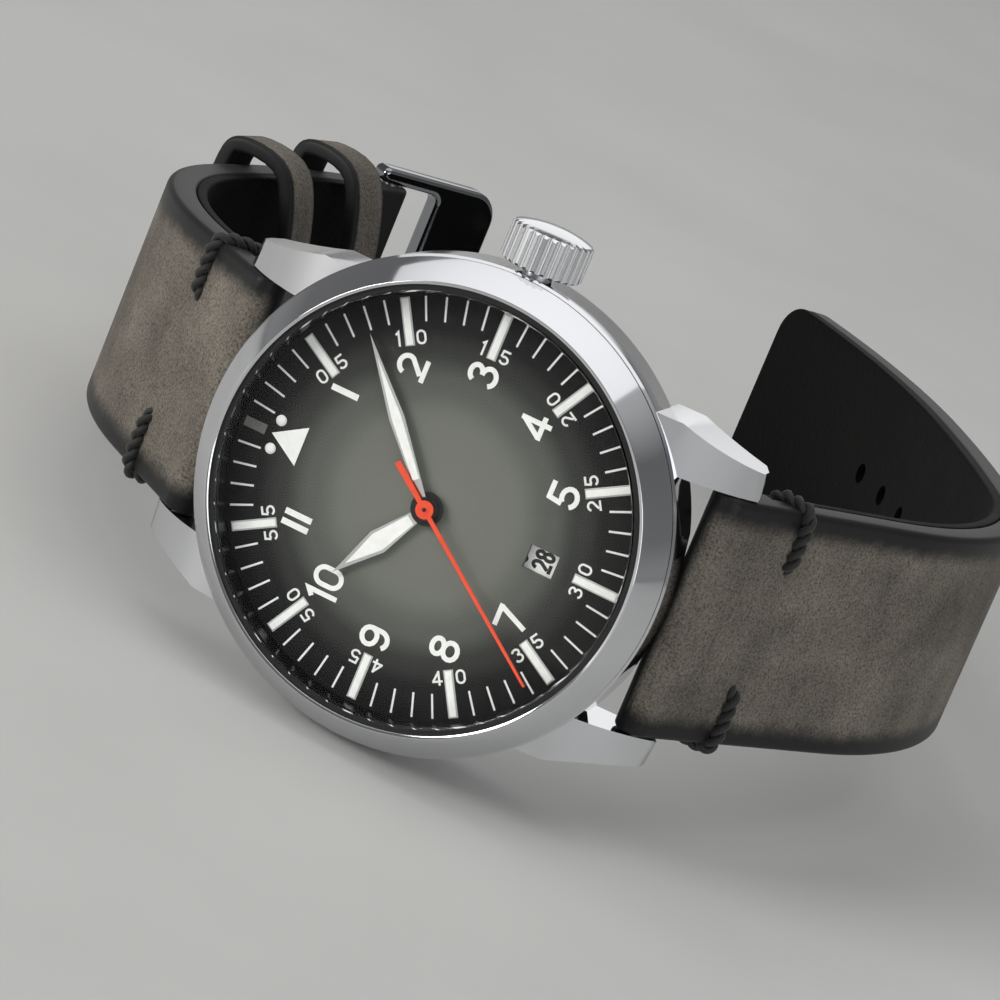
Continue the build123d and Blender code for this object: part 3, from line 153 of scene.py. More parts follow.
def add(tree, kind, inputs=None, stops=(), **settings):
    """Add one node. An input takes a value, an output or a node's first output, and a ramp its stops."""
    node = tree.nodes.new(kind)
    for name, value in settings.items():
        setattr(node, name, value)
    for name, value in (inputs or {}).items():
        source = value.outputs[0] if isinstance(value, bpy.types.Node) else value
        if isinstance(source, bpy.types.NodeSocket):
            tree.links.new(source, node.inputs[name])
        else:
            node.inputs[name].default_value = source
    if stops:
        elements = node.color_ramp.elements
        while len(elements) < len(stops):
            elements.new(1.0)
        for element, (where, shade) in zip(elements, stops):
            element.position, element.color = where, shade
    return node


def new_material(name):
    """An empty material, its tree and the coordinates that its patterns read."""
    material = bpy.data.materials.new(name)
    material.use_nodes = True
    tree = material.node_tree
    tree.nodes.clear()
    return material, tree, add(tree, "ShaderNodeTexCoord").outputs["Object"]


print("colour check, mid grey in linear light:", [round(c, 3) for c in colour("#808080")[:3]])

# %% [markdown]
# ## Steel
#
# The case, the bezel and the crown are 316L stainless steel, turned and then polished on a soft wheel. To the
# eye that is a mirror with a slight bloom: reflections stay sharp in shape but soft at their edges, and very
# fine wheel marks show only in the highlights. Metal keeps the default IOR, because its colour sets what it
# mirrors. Brushed and grained steels get the same shader with a rougher surface and drawn-out marks.


# %% Steels
def steel(name, tone, roughness, mark_mm, depth_mm, spread=0.04, stretch=(1, 1, 1)):
    """A bare steel: its colour, its roughness and the size, depth and direction of its marks."""
    material, tree, where = new_material(name)
    drawn_out = add(tree, "ShaderNodeMapping", {"Vector": where, "Scale": stretch})
    marks = add(tree, "ShaderNodeTexNoise", {
        "Vector": drawn_out, "Scale": scale_for(mark_mm), "Detail": 4.0, "Roughness": 0.6})
    blooms = add(tree, "ShaderNodeTexNoise", {"Vector": where, "Scale": scale_for(6.0), "Detail": 2.0})
    uneven = add(tree, "ShaderNodeMapRange", {
        "Value": blooms, "To Min": roughness - spread, "To Max": roughness + spread})
    bump = add(tree, "ShaderNodeBump", {"Height": marks, "Strength": 1.0, "Distance": depth_mm * MM})
    shader = add(tree, "ShaderNodeBsdfPrincipled", {
        "Base Color": colour(tone), "Metallic": 1.0, "Roughness": uneven, "Normal": bump})
    add(tree, "ShaderNodeOutputMaterial", {"Surface": shader})
    return material


# Name, tone, roughness, width and depth of the marks in mm, and how far the roughness strays
ring_steel = steel("dark_satin_dial_ring_steel", "#4a4b4d", 0.22, 0.1, 0.0005)
polished_steel = steel("polished_316L_steel", "#d6d7da", 0.075, 0.3, 0.0002, 0.02)
# Wheel marks of about 0.08 mm, drawn a little coarser than the real ones so that they show
satin_steel = steel("satin_316L_steel", "#c4c6c9", 0.30, 0.08, 0.0015, stretch=(1, 6, 1))
crown_steel = steel("polished_crown_steel", "#dcdde0", 0.07, 0.2, 0.0002, 0.02)
grained_steel = steel("grained_movement_steel", "#b9bcc1", 0.30, 0.06, 0.0015, stretch=(1, 1, 5))
hand_steel = steel("polished_hand_steel", "#e9eaea", 0.16, 0.1, 0.0002)
# The buckle is the same polished steel as the case; its far darker tone is painted shade, for the dark look of
# the polished frame behind the watch
buckle_steel_in_painted_shade = steel("polished_buckle_steel_painted_darker", "#94969a", 0.10, 0.3, 0.0003, 0.02)
print("steels:", [m.name for m in bpy.data.materials if "steel" in m.name])

# %% [markdown]
# ## Movement metals
#
# Through the display back show nickel-plated bridges with straight stripes, ground with a wooden disc that
# moves along a ruler, so each stripe is a band of fine arcs about 1.5 mm wide. The wheels are gilt brass with
# a circular grain, and the bearings are synthetic ruby, which is clear and deep red.


# %% Bridges, brass and ruby
def striped_nickel(name, tone, pitch_mm, direction):
    """Nickel plate ground in stripes of one pitch across a direction."""
    material, tree, where = new_material(name)
    across = add(tree, "ShaderNodeVectorMath", {0: where, 1: tuple(direction)}, operation="DOT_PRODUCT")
    phase = add(tree, "ShaderNodeMath", {0: across.outputs["Value"], 1: scale_for(pitch_mm)},
                operation="MULTIPLY")
    band = add(tree, "ShaderNodeMath", {0: phase}, operation="FRACT")
    drawn_out = add(tree, "ShaderNodeMapping", {"Vector": where, "Scale": (6, 1, 6)})
    grain = add(tree, "ShaderNodeTexNoise", {
        "Vector": drawn_out, "Scale": scale_for(0.06), "Detail": 3.0, "Roughness": 0.6})
    shade = add(tree, "ShaderNodeValToRGB", {"Fac": band}, [
        (0.0, colour("#8f8e88")), (0.12, colour(tone)), (1.0, colour("#b4b2aa"))])
    height = add(tree, "ShaderNodeMath", {0: grain, 1: band}, operation="ADD")
    bump = add(tree, "ShaderNodeBump", {"Height": height, "Strength": 1.0, "Distance": 0.008 * MM})
    shader = add(tree, "ShaderNodeBsdfPrincipled", {
        "Base Color": shade, "Metallic": 1.0, "Roughness": 0.27, "Normal": bump})
    add(tree, "ShaderNodeOutputMaterial", {"Surface": shader})
    return material


def gilt_brass(name, tone):
    """Gilded brass with a fine turned grain."""
    material, tree, where = new_material(name)
    grain = add(tree, "ShaderNodeTexNoise", {
        "Vector": where, "Scale": scale_for(0.05), "Detail": 3.0, "Roughness": 0.7})
    shade = add(tree, "ShaderNodeValToRGB", {"Fac": grain}, [(0.3, colour("#b98f3f")), (0.7, colour(tone))])
    bump = add(tree, "ShaderNodeBump", {"Height": grain, "Strength": 1.0, "Distance": 0.002 * MM})
    shader = add(tree, "ShaderNodeBsdfPrincipled", {
        "Base Color": shade, "Metallic": 1.0, "Roughness": 0.28, "Normal": bump})
    add(tree, "ShaderNodeOutputMaterial", {"Surface": shader})
    return material


def ruby(name):
    """Synthetic corundum coloured with chromium: a deep red with a hard gloss."""
    material, tree, where = new_material(name)
    clouds = add(tree, "ShaderNodeTexNoise", {"Vector": where, "Scale": scale_for(0.3), "Detail": 1.0})
    shade = add(tree, "ShaderNodeValToRGB", {"Fac": clouds}, [
        (0.2, colour("#a3123a")), (0.8, colour("#c8204c"))])
    shader = add(tree, "ShaderNodeBsdfPrincipled", {
        "Base Color": shade, "Roughness": 0.05, "IOR": 1.76, "Coat Weight": 0.4})
    add(tree, "ShaderNodeOutputMaterial", {"Surface": shader})
    return material


stripe_pitch = 1.5
bridge_nickel = striped_nickel("striped_bridge_nickel", "#d3d1c9", stripe_pitch, to_three)
rotor_nickel = striped_nickel("striped_rotor_nickel", "#dbd9d2", stripe_pitch, to_twelve)
brass = gilt_brass("gilt_brass", "#e0bd6a")
jewel_ruby = ruby("synthetic_ruby")
print("stripes are", stripe_pitch, "mm wide")

# %% [markdown]
# ## Sapphire
#
# The crystal is flat sapphire with an anti-reflection coating, so in a photograph it is nearly invisible apart
# from its rim. The shader bends light as sapphire does, but a clear shader takes its place for the rays that
# look for lamps, because otherwise the dial below would lie in the crystal's shadow.


# %% Sapphire glass
sapphire_ior = 1.77


def sapphire(name, coating, tint):
    """Clear glass that lets lamp light through to what lies behind it."""
    material, tree, where = new_material(name)
    clouds = add(tree, "ShaderNodeTexNoise", {"Vector": where, "Scale": scale_for(5.0), "Detail": 2.0})
    wiped = add(tree, "ShaderNodeValToRGB", {"Fac": clouds}, [(0.3, grey(0.0)), (0.8, grey(0.02))])
    glass = add(tree, "ShaderNodeBsdfPrincipled", {
        "Base Color": colour(tint), "Roughness": wiped, "IOR": sapphire_ior, "Transmission Weight": 1.0,
        "Specular Tint": grey(coating)})
    clear = add(tree, "ShaderNodeBsdfTransparent", {"Color": colour("#f8fafa")})
    rays = add(tree, "ShaderNodeLightPath")
    both = add(tree, "ShaderNodeMixShader", {0: rays.outputs["Is Shadow Ray"], 1: glass, 2: clear})
    add(tree, "ShaderNodeOutputMaterial", {"Surface": both})
    return material


# A dark specular tint stands in for the coating: it leaves a tenth of what bare sapphire mirrors
coated_sapphire = sapphire("coated_sapphire", 0.1, "#ffffff")
back_sapphire = sapphire("back_sapphire", 0.4, "#fdfefe")
mirrored = ((sapphire_ior - 1) / (sapphire_ior + 1)) ** 2
print("bare sapphire mirrors", round(mirrored * 100, 1), "percent head on")

# %% [markdown]
# ## Dial lacquer and its paints
#
# The dial is a metal disc sprayed in two steps: light greenish grey in the middle, and black from the edge
# inwards, so that the grey fades over several millimetres. The ramp reads the distance from the hands' axis,
# in real millimetres. The paint has a fine metallic grain that catches the light a little. Numerals, bars and
# hands carry thick white luminous paint, which dries to a chalky, faintly uneven surface.

# %% Dial lacquer
sprayed_radius, black_from = 17.5, 0.94
dial_lacquer, tree, where = new_material("smoked_dial_lacquer")
along_three = add(tree, "ShaderNodeVectorMath", {0: where, 1: tuple(to_three)}, operation="DOT_PRODUCT")
along_twelve = add(tree, "ShaderNodeVectorMath", {0: where, 1: tuple(to_twelve)}, operation="DOT_PRODUCT")
flat = add(tree, "ShaderNodeCombineXYZ", {
    "X": along_three.outputs["Value"], "Y": along_twelve.outputs["Value"]})
radius = add(tree, "ShaderNodeVectorMath", {0: flat}, operation="LENGTH")
share = add(tree, "ShaderNodeMath", {0: radius.outputs["Value"], 1: sprayed_radius * MM}, operation="DIVIDE")
fade = add(tree, "ShaderNodeValToRGB", {"Fac": share}, [
    (0.0, colour("#777971")), (0.38, colour("#70726b")), (0.56, colour("#595b56")), (0.70, colour("#363735")),
    (0.82, colour("#191a19")), (black_from, colour("#0a0a0a"))])
fade.color_ramp.interpolation = "EASE"
flakes = add(tree, "ShaderNodeTexNoise", {
    "Vector": where, "Scale": scale_for(0.06), "Detail": 2.0, "Roughness": 0.6})
bump = add(tree, "ShaderNodeBump", {"Height": flakes, "Strength": 1.0, "Distance": 0.0008 * MM})
lacquer = add(tree, "ShaderNodeBsdfPrincipled", {
    "Base Color": fade, "Roughness": 0.48, "Metallic": 0.1, "Normal": bump, "IOR": 1.5,
    "Specular IOR Level": 0.15})
add(tree, "ShaderNodeOutputMaterial", {"Surface": lacquer})
print("the grey fades out at", round(sprayed_radius * black_from, 2), "mm from the middle")


# %% Paints
def paint(name, tone, darker, roughness, grain_mm, depth_mm):
    """A paint film with a fine uneven surface and a slight change of shade."""
    material, tree, where = new_material(name)
    grain = add(tree, "ShaderNodeTexNoise", {
        "Vector": where, "Scale": scale_for(grain_mm), "Detail": 3.0, "Roughness": 0.6})
    clouds = add(tree, "ShaderNodeTexNoise", {
        "Vector": where, "Scale": scale_for(grain_mm * 8), "Detail": 2.0})
    shade = add(tree, "ShaderNodeValToRGB", {"Fac": clouds}, [(0.3, colour(darker)), (0.7, colour(tone))])
    bump = add(tree, "ShaderNodeBump", {"Height": grain, "Strength": 1.0, "Distance": depth_mm * MM})
    shader = add(tree, "ShaderNodeBsdfPrincipled", {
        "Base Color": shade, "Roughness": roughness, "Normal": bump, "IOR": 1.5})
    add(tree, "ShaderNodeOutputMaterial", {"Surface": shader})
    return material


# Name, tone, darker tone, roughness, and width and depth of the grain in mm
lume = paint("luminous_paint", "#f7f7f3", "#eeeeea", 0.75, 0.07, 0.012)
bar_print = paint("grey_bar_print", "#b9bab6", "#b0b1ad", 0.5, 0.05, 0.003)
# The twelve o'clock bar's dark grey is painted shadow, for the shade that the bezel casts on the dial there
twelve_bar_shadow_paint = paint("twelve_bar_painted_shadow_grey", "#6f706c", "#686965", 0.5, 0.05, 0.003)
dial_print = paint("white_dial_print", "#efefec", "#e6e6e2", 0.5, 0.05, 0.003)
orange_lacquer = paint("orange_hand_lacquer", "#f0512e", "#e84a29", 0.35, 0.1, 0.001)
date_lacquer = paint("white_date_lacquer", "#f2f2f0", "#ebebe8", 0.5, 0.08, 0.002)
date_ink = paint("black_date_ink", "#141414", "#1a1a1a", 0.6, 0.05, 0.002)
# Black for the seconds pin, and on the hands' polished pipes a painted reflection of dark surroundings
pin_black_and_pipe_painted_reflection = paint("black_pin_and_painted_pipe_reflection", "#121212", "#181818", 0.3, 0.08, 0.001)
holder_nylon = paint("grey_moulded_nylon", "#4b4c4e", "#434446", 0.5, 0.15, 0.006)
gasket_rubber = paint("black_gasket_rubber", "#121212", "#191919", 0.65, 0.1, 0.01)
print("finishes so far:", len(bpy.data.materials))

# %% [markdown]
# ## Leather
#
# The strap is calfskin rubbed to a short nap, in a warm grey. Its grain shows as specks a few tenths of a
# millimetre long that lean one way, over soft clouds of lighter and darker dye. A border about two
# millimetres wide, the holes and the cut edges are stained almost black and burnished, so they are smoother.
# The leather is made below with two numbers stored on each vertex: how far it lies from the strap's edge and
# whether it is on the outer face. The dye reads those, so the border follows every curve of the strap.


# %% Strap leather
def strap_suede(name, border_mm, light="#857f74", middle="#716b62", dark="#5a564f"):
    """Napped leather with a dyed border that follows the piece's edges."""
    material, tree, where = new_material(name)
    to_edge = add(tree, "ShaderNodeAttribute", attribute_name="edge_mm").outputs["Fac"]
    face = add(tree, "ShaderNodeAttribute", attribute_name="outer_face").outputs["Fac"]
    specks = add(tree, "ShaderNodeTexNoise", {
        "Vector": where, "Scale": scale_for(0.2), "Detail": 3.0, "Roughness": 0.6})
    pits = add(tree, "ShaderNodeTexVoronoi", {"Vector": where, "Scale": scale_for(0.42)})
    clouds = add(tree, "ShaderNodeTexNoise", {
        "Vector": where, "Scale": scale_for(9.0), "Detail": 4.0, "Roughness": 0.6})
    waver = add(tree, "ShaderNodeTexNoise", {"Vector": where, "Scale": scale_for(1.6), "Detail": 3.0})
    nap = add(tree, "ShaderNodeValToRGB", {"Fac": clouds}, [
        (0.32, colour(dark)), (0.5, colour(middle)), (0.7, colour(light))])
    fleck = add(tree, "ShaderNodeValToRGB", {"Fac": specks}, [
        (0.34, grey(0.45)), (0.5, grey(1.0)), (0.66, grey(1.35))])
    grained = add(tree, "ShaderNodeMix", {0: 1.0, 6: nap, 7: fleck}, data_type="RGBA", blend_type="MULTIPLY")
    strayed = add(tree, "ShaderNodeMath", {0: waver, 1: border_mm * 0.5, 2: -border_mm * 0.25},
                  operation="MULTIPLY_ADD")
    distance = add(tree, "ShaderNodeMath", {0: to_edge, 1: strayed}, operation="ADD")
    inside = add(tree, "ShaderNodeMapRange", {
        "Value": distance, "From Min": border_mm * 0.55, "From Max": border_mm * 1.45},
        interpolation_type="SMOOTHSTEP")
    napped = add(tree, "ShaderNodeMath", {0: inside, 1: face}, operation="MULTIPLY")
    dyed = add(tree, "ShaderNodeValToRGB", {"Fac": specks}, [
        (0.3, colour("#0b0b0c")), (0.7, colour("#1a1a1b"))])
    shade = add(tree, "ShaderNodeMix", {0: napped, 6: dyed, 7: grained.outputs[2]}, data_type="RGBA")
    rough = add(tree, "ShaderNodeMapRange", {"Value": napped, "To Min": 0.5, "To Max": 0.88})
    relief = add(tree, "ShaderNodeMath", {0: specks, 1: pits}, operation="ADD")
    deep = add(tree, "ShaderNodeMath", {0: relief, 1: napped}, operation="MULTIPLY")
    bump = add(tree, "ShaderNodeBump", {"Height": deep, "Strength": 1.0, "Distance": 0.10 * MM})
    shader = add(tree, "ShaderNodeBsdfPrincipled", {
        "Base Color": shade.outputs[2], "Roughness": rough, "Normal": bump, "Sheen Weight": 0.05,
        "Sheen Roughness": 0.5, "IOR": 1.5, "Specular IOR Level": 0.3})
    add(tree, "ShaderNodeOutputMaterial", {"Surface": shader})
    return material


def smooth_leather(name, tone, darker):
    """Dyed lining leather, rolled smooth, with its fine pores."""
    material, tree, where = new_material(name)
    pores = add(tree, "ShaderNodeTexVoronoi", {"Vector": where, "Scale": scale_for(0.5)})
    clouds = add(tree, "ShaderNodeTexNoise", {"Vector": where, "Scale": scale_for(5.0), "Detail": 3.0})
    shade = add(tree, "ShaderNodeValToRGB", {"Fac": clouds}, [(0.3, colour(darker)), (0.7, colour(tone))])
    rough = add(tree, "ShaderNodeMapRange", {"Value": clouds, "To Min": 0.55, "To Max": 0.7})
    bump = add(tree, "ShaderNodeBump", {"Height": pores, "Strength": 1.0, "Distance": 0.03 * MM})
    shader = add(tree, "ShaderNodeBsdfPrincipled", {
        "Base Color": shade, "Roughness": rough, "Normal": bump, "IOR": 1.5, "Specular IOR Level": 0.1})
    add(tree, "ShaderNodeOutputMaterial", {"Surface": shader})
    return material


strap_border, keeper_border = 2.0, 0.5
suede = strap_suede("grey_napped_calfskin", strap_border)
keeper_suede = strap_suede("grey_napped_keeper_calfskin", keeper_border)
lining = smooth_leather("black_lining_calfskin", "#0c0c0c", "#070707")
print("the dyed border is", strap_border, "mm wide, and", keeper_border, "mm on the keepers")

# %% [markdown]
# ## Waxed cord
#
# The strap is held at its edges by a thick waxed linen cord of two strands. The twist itself is modelled
# further down, so the material only adds the fibres, which run along the strand and shine a little.

# %% Cord finish
cord_linen, tree, where = new_material("waxed_linen_cord")
fibres = add(tree, "ShaderNodeTexNoise", {
    "Vector": where, "Scale": scale_for(0.09), "Detail": 3.0, "Roughness": 0.7})
shade = add(tree, "ShaderNodeValToRGB", {"Fac": fibres}, [
    (0.3, colour("#0b0b0b")), (0.55, colour("#181817")), (0.8, colour("#33322f"))])
bump = add(tree, "ShaderNodeBump", {"Height": fibres, "Strength": 1.0, "Distance": 0.03 * MM})
thread = add(tree, "ShaderNodeBsdfPrincipled", {
    "Base Color": shade, "Roughness": 0.6, "Normal": bump, "Sheen Weight": 0.2})
add(tree, "ShaderNodeOutputMaterial", {"Surface": thread})
print("cord finish:", cord_linen.name)

# %% [markdown]
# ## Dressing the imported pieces
#
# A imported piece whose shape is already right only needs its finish. Its mesh comes as loose triangles, which
# would show every facet in a polished surface, so pieces that mirror are copied, their doubled corners merged
# and their edges sorted: edges that turn by more than a few degrees stay crisp, the others shade smoothly.


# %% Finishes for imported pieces
weld_gap = 0.0005


def dress(material, *nodes):
    """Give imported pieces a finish."""
    for node in nodes:
        piece = frame["nodes"][node]
        if not piece.material_slots:
            piece.data.materials.append(material)
        for slot in piece.material_slots:
            slot.material = material


def shade_smoothly(work, limit):
    """Shade a mesh smoothly, apart from edges that turn by more than a limit in degrees."""
    for face in work.faces:
        face.smooth = True
    for edge in work.edges:
        turn = edge.calc_face_angle(0.0) if len(edge.link_faces) == 2 else pi
        edge.smooth = turn < radians(limit)


def finished_copy(node, material, crisp=24, ease=0.0):
    """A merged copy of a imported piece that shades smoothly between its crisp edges, which may be eased."""
    mesh = frame["nodes"][node].data.copy()
    work = bmesh.new()
    work.from_mesh(mesh)
    bmesh.ops.remove_doubles(work, verts=work.verts, dist=weld_gap * MM)
    if ease:
        bmesh.ops.dissolve_limit(work, angle_limit=radians(1.0), verts=work.verts, edges=work.edges)
        sharp = [edge for edge in work.edges if len(edge.link_faces) == 2
                 and edge.calc_face_angle(0.0) > radians(crisp)]
        bmesh.ops.bevel(work, geom=sharp, offset=ease * MM, segments=3, affect="EDGES", profile=0.5,
                        clamp_overlap=True)
    shade_smoothly(work, crisp)
    work.to_mesh(mesh)
    work.free()
    mesh.materials.clear()
    mesh.materials.append(material)
    for polygon in mesh.polygons:
        polygon.material_index = 0
    piece = in_scene("finished_" + node, mesh)
    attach(piece, body_of[node])
    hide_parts(node)


dress(satin_steel, "lug_spring_bars", "buckle_spring_bar", "crown_tube")
dress(bridge_nickel, "main_plate", "balance_cock", "train_bridge", "automatic_bridge")
dress(brass, "centre_wheel", "hour_wheel", "minute_wheel", "third_wheel", "fourth_wheel", "barrel",
      "balance_wheel")
dress(grained_steel, "mainspring", "rotor_bearing", "setting_lever", "winding_stem", "winding_pinion",
      "clutch_yoke", "sliding_clutch", "crown_wheel", "ratchet_wheel", "barrel_arbor", "cannon_pinion",
      "escape_wheel", "pallet_fork", "hairspring")
dress(jewel_ruby, "jewels")
dress(gasket_rubber, "crystal_gasket", "case_back_gasket", "crown_gasket")
dress(holder_nylon, "movement_holder")
dress(date_lacquer, "date_disc")
dress(dial_lacquer, "dial")
finished_copy("case_middle", polished_steel, crisp=40)
finished_copy("crown", crown_steel)
# The tongue takes the buckle's steel, whose darker tone is painted shade
finished_copy("buckle_tongue", buckle_steel_in_painted_shade, ease=0.35)
for node, material in (
        ("case_back_ring", polished_steel), ("rotor", rotor_nickel), ("rotor_screw", polished_steel),
        ("hour_hand", hand_steel), ("minute_hand", hand_steel), ("seconds_hand", orange_lacquer),
        ("hour_hand_lume", lume), ("minute_hand_lume", lume), ("case_back_crystal", back_sapphire)):
    finished_copy(node, material)
print("packed pieces to dress or replace:", len(frame["nodes"]))

# %% [markdown]
# ## Turned rings
#
# The bezel, the crystal and the ring round the dial are turned on a lathe, so each is one outline spun about
# the dial's axis. The outline's corners are first rounded by a few hundredths of a millimetre, because real
# polished corners catch a thin bright line. A packed copy would do, but its few facets show in a mirror this
# large, so these three are spun with many more steps.


# %% Lathe
def rounded(outline, size):
    """An outline whose corners are replaced by short arcs."""
    points = []
    for number, corner in enumerate(outline):
        before, after = outline[number - 1], outline[(number + 1) % len(outline)]
        here, back, on = Vector(corner), Vector(before), Vector(after)
        if corner[0] == 0:
            points.append(here)
            continue
        inward, outward = (back - here).normalized(), (on - here).normalized()
        reach = min(size, (back - here).length * 0.45, (on - here).length * 0.45)
        start, end = here + inward * reach, here + outward * reach
        for step in range(4):
            t = step / 3
            points.append(start * (1 - t) ** 2 + here * 2 * t * (1 - t) + end * t ** 2)
    return points


def skin(work, rings):
    """Join rings of points into a band of faces, each ring to the one after it."""
    for here, there in zip(rings, rings[1:]):
        for number in range(len(here)):
            after = (number + 1) % len(here)
            work.faces.new((here[number], here[after], there[after], there[number]))


def mesh_from(work, name):
    """Turn the faces of a mesh being made outwards, and keep it as a plain mesh."""
    bmesh.ops.recalc_face_normals(work, faces=work.faces)
    mesh = bpy.data.meshes.new(name)
    work.to_mesh(mesh)
    work.free()
    return mesh


def piece_from(work, name, material):
    """Make a piece with its material from a mesh being made."""
    mesh = mesh_from(work, name)
    mesh.materials.append(material)
    return in_scene(name, mesh)


def crisp_edges(piece, limit=35):
    """Shade a finished piece smoothly between its crisp edges."""
    work = bmesh.new()
    work.from_mesh(piece.data)
    shade_smoothly(work, limit)
    work.to_mesh(piece.data)
    work.free()


def spun(name, outline, material, corner, steps):
    """Spin an outline of radius and height points about the dial's axis into one closed piece."""
    points = rounded(outline, corner)
    work = bmesh.new()
    rings = []
    for step in range(steps):
        angle = 2 * pi * step / steps
        rings.append([work.verts.new(place(p[0] * cos(angle), p[0] * sin(angle), p[1])) for p in points])
    skin(work, rings + rings[:1])
    bmesh.ops.remove_doubles(work, verts=work.verts, dist=weld_gap * MM)
    piece = piece_from(work, name, material)
    crisp_edges(piece, 40)
    return piece


def turned_piece(name, outline, material, node, corner):
    """A ring or disc spun finely, in place of a packed one."""
    piece = spun(name, outline, material, corner, steps=256)
    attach(piece, body_of[node])
    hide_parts(node)
    print(name, len(piece.data.polygons), "faces")


def reach(node):
    """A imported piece's lowest and highest place along the dial's axis and its radii, in millimetres."""
    spots = [vertex.co / MM for vertex in frame["nodes"][node].data.vertices]
    heights = [spot.dot(dial_out) for spot in spots]
    radii = [sqrt(spot.dot(to_three) ** 2 + spot.dot(to_twelve) ** 2) for spot in spots]
    return round(min(heights), 3), round(max(heights), 3), round(min(radii), 3), round(max(radii), 3)


for node in ("bezel", "crystal", "rehaut_ring", "dial", "hour_hand", "minute_hand", "seconds_hand"):
    print(node, "heights and radii:", reach(node))
case_top, bezel_top, bezel_inner, bezel_foot = reach("bezel")
glass_low, glass_high, _, glass_radius = reach("crystal")
dial_high = reach("dial")[1]
ring_low, ring_high, ring_inner, ring_outer = reach("rehaut_ring")

# %% Bezel, crystal and dial ring
groove, slope_run, lip_run, lip_drop, rim_drop = 0.25, 1.83, 2.08, 0.1, 0.25
glass_bevel, ring_slope = 0.15, 0.43
turned_piece("turned_bezel", [
    (bezel_inner, case_top), (bezel_foot - groove, case_top), (bezel_foot - groove, case_top + groove),
    (bezel_foot, case_top + groove), (bezel_foot - slope_run, bezel_top),
    (bezel_foot - lip_run, bezel_top - lip_drop), (bezel_inner, bezel_top - rim_drop)],
    polished_steel, "bezel", corner=0.06)
turned_piece("turned_crystal", [
    (0.0, glass_low), (glass_radius, glass_low), (glass_radius, glass_high - glass_bevel),
    (glass_radius - glass_bevel, glass_high), (0.0, glass_high)], coated_sapphire, "crystal", corner=0.02)
turned_piece("turned_dial_ring", [
    (ring_inner, ring_low), (ring_outer, ring_low), (ring_outer, ring_high),
    (ring_outer - ring_slope, ring_high)], ring_steel, "rehaut_ring", corner=0.03)

# %% [markdown]
# ## Minute track
#
# Sixty marks stand round the dial: a thin line for each minute and a thick bar for every fifth. A rule places
# them, so Geometry Nodes make them: points go round a circle, a block of the mark's size stands on each, turned
# to face the middle, and one input says how many there are. The instances are made real and baked to a plain
# mesh, which then moves from a flat drawing on to the dial. An Array modifier would also do, but its count and
# its angle have to be kept in step by hand.


# %% Track tree
def geometry_tree(name, sockets):
    """A node group that takes and gives a mesh or curve, with named inputs."""
    tree = bpy.data.node_groups.new(name, "GeometryNodeTree")
    tree.interface.new_socket("Geometry", in_out="INPUT", socket_type="NodeSocketGeometry")
    for label, kind in sockets:
        tree.interface.new_socket(label, in_out="INPUT", socket_type=kind)
    tree.interface.new_socket("Geometry", in_out="OUTPUT", socket_type="NodeSocketGeometry")
    return tree, tree.nodes.new("NodeGroupInput"), tree.nodes.new("NodeGroupOutput")


def bake(source, tree, values, name):
    """Run a geometry tree on an object and keep its result as a plain piece of its own."""
    modifier = source.modifiers.new(tree.name, "NODES")
    modifier.node_group = tree
    for item in tree.interface.items_tree:
        if item.in_out == "INPUT" and item.name in values:
            modifier[item.identifier] = values[item.name]
    seen = source.evaluated_get(bpy.context.evaluated_depsgraph_get())
    mesh = bpy.data.meshes.new_from_object(seen)
    bpy.data.objects.remove(source)
    mesh.name = name
    return in_scene(name, mesh)


track, given, result = geometry_tree("minute_track", [
    ("Count", "NodeSocketInt"), ("Leave Out Every", "NodeSocketInt"), ("First", "NodeSocketInt"),
    ("Middle Radius", "NodeSocketFloat"), ("Length", "NodeSocketFloat"), ("Width", "NodeSocketFloat"),
    ("Height", "NodeSocketFloat"), ("Paint", "NodeSocketMaterial")])
number = add(track, "GeometryNodeInputIndex")
turn = add(track, "ShaderNodeMath", {0: number, 1: given.outputs["Count"]}, operation="DIVIDE")
angle = add(track, "ShaderNodeMath", {0: turn, 1: 2 * pi}, operation="MULTIPLY")
sideways = add(track, "ShaderNodeMath", {0: angle}, operation="SINE")
upwards = add(track, "ShaderNodeMath", {0: angle}, operation="COSINE")
outwards = add(track, "ShaderNodeCombineXYZ", {"X": sideways, "Y": upwards})
spot = add(track, "ShaderNodeVectorMath", {0: outwards, "Scale": given.outputs["Middle Radius"]},
           operation="SCALE")
points = add(track, "GeometryNodePoints", {"Count": given.outputs["Count"], "Position": spot})
size = add(track, "ShaderNodeCombineXYZ", {
    "X": given.outputs["Width"], "Y": given.outputs["Length"], "Z": given.outputs["Height"]})
block = add(track, "GeometryNodeMeshCube", {"Size": size})
clockwise = add(track, "ShaderNodeMath", {0: angle, 1: -1.0}, operation="MULTIPLY")
facing = add(track, "ShaderNodeCombineXYZ", {"Z": clockwise})
rest_of = add(track, "ShaderNodeMath", {0: number, 1: given.outputs["Leave Out Every"]}, operation="MODULO")
wanted = add(track, "FunctionNodeCompare", {0: rest_of, 1: 0.5}, data_type="FLOAT", operation="GREATER_THAN")
after_first = add(track, "FunctionNodeCompare", {2: number, 3: given.outputs["First"]}, data_type="INT",
                  operation="GREATER_EQUAL")
chosen = add(track, "FunctionNodeBooleanMath", {0: wanted, 1: after_first}, operation="AND")
marks = add(track, "GeometryNodeInstanceOnPoints", {
    "Points": points, "Selection": chosen, "Instance": block, "Rotation": facing})
real = add(track, "GeometryNodeRealizeInstances", {"Geometry": marks})
painted = add(track, "GeometryNodeSetMaterial", {"Geometry": real, "Material": given.outputs["Paint"]})
track.links.new(painted.outputs[0], result.inputs[0])
print("track tree:", len(track.nodes), "nodes")

# %% Marks on the dial
dial_place = Matrix([[MM * c for c in (to_three[r], to_twelve[r], dial_out[r])] for r in range(3)]).to_4x4()


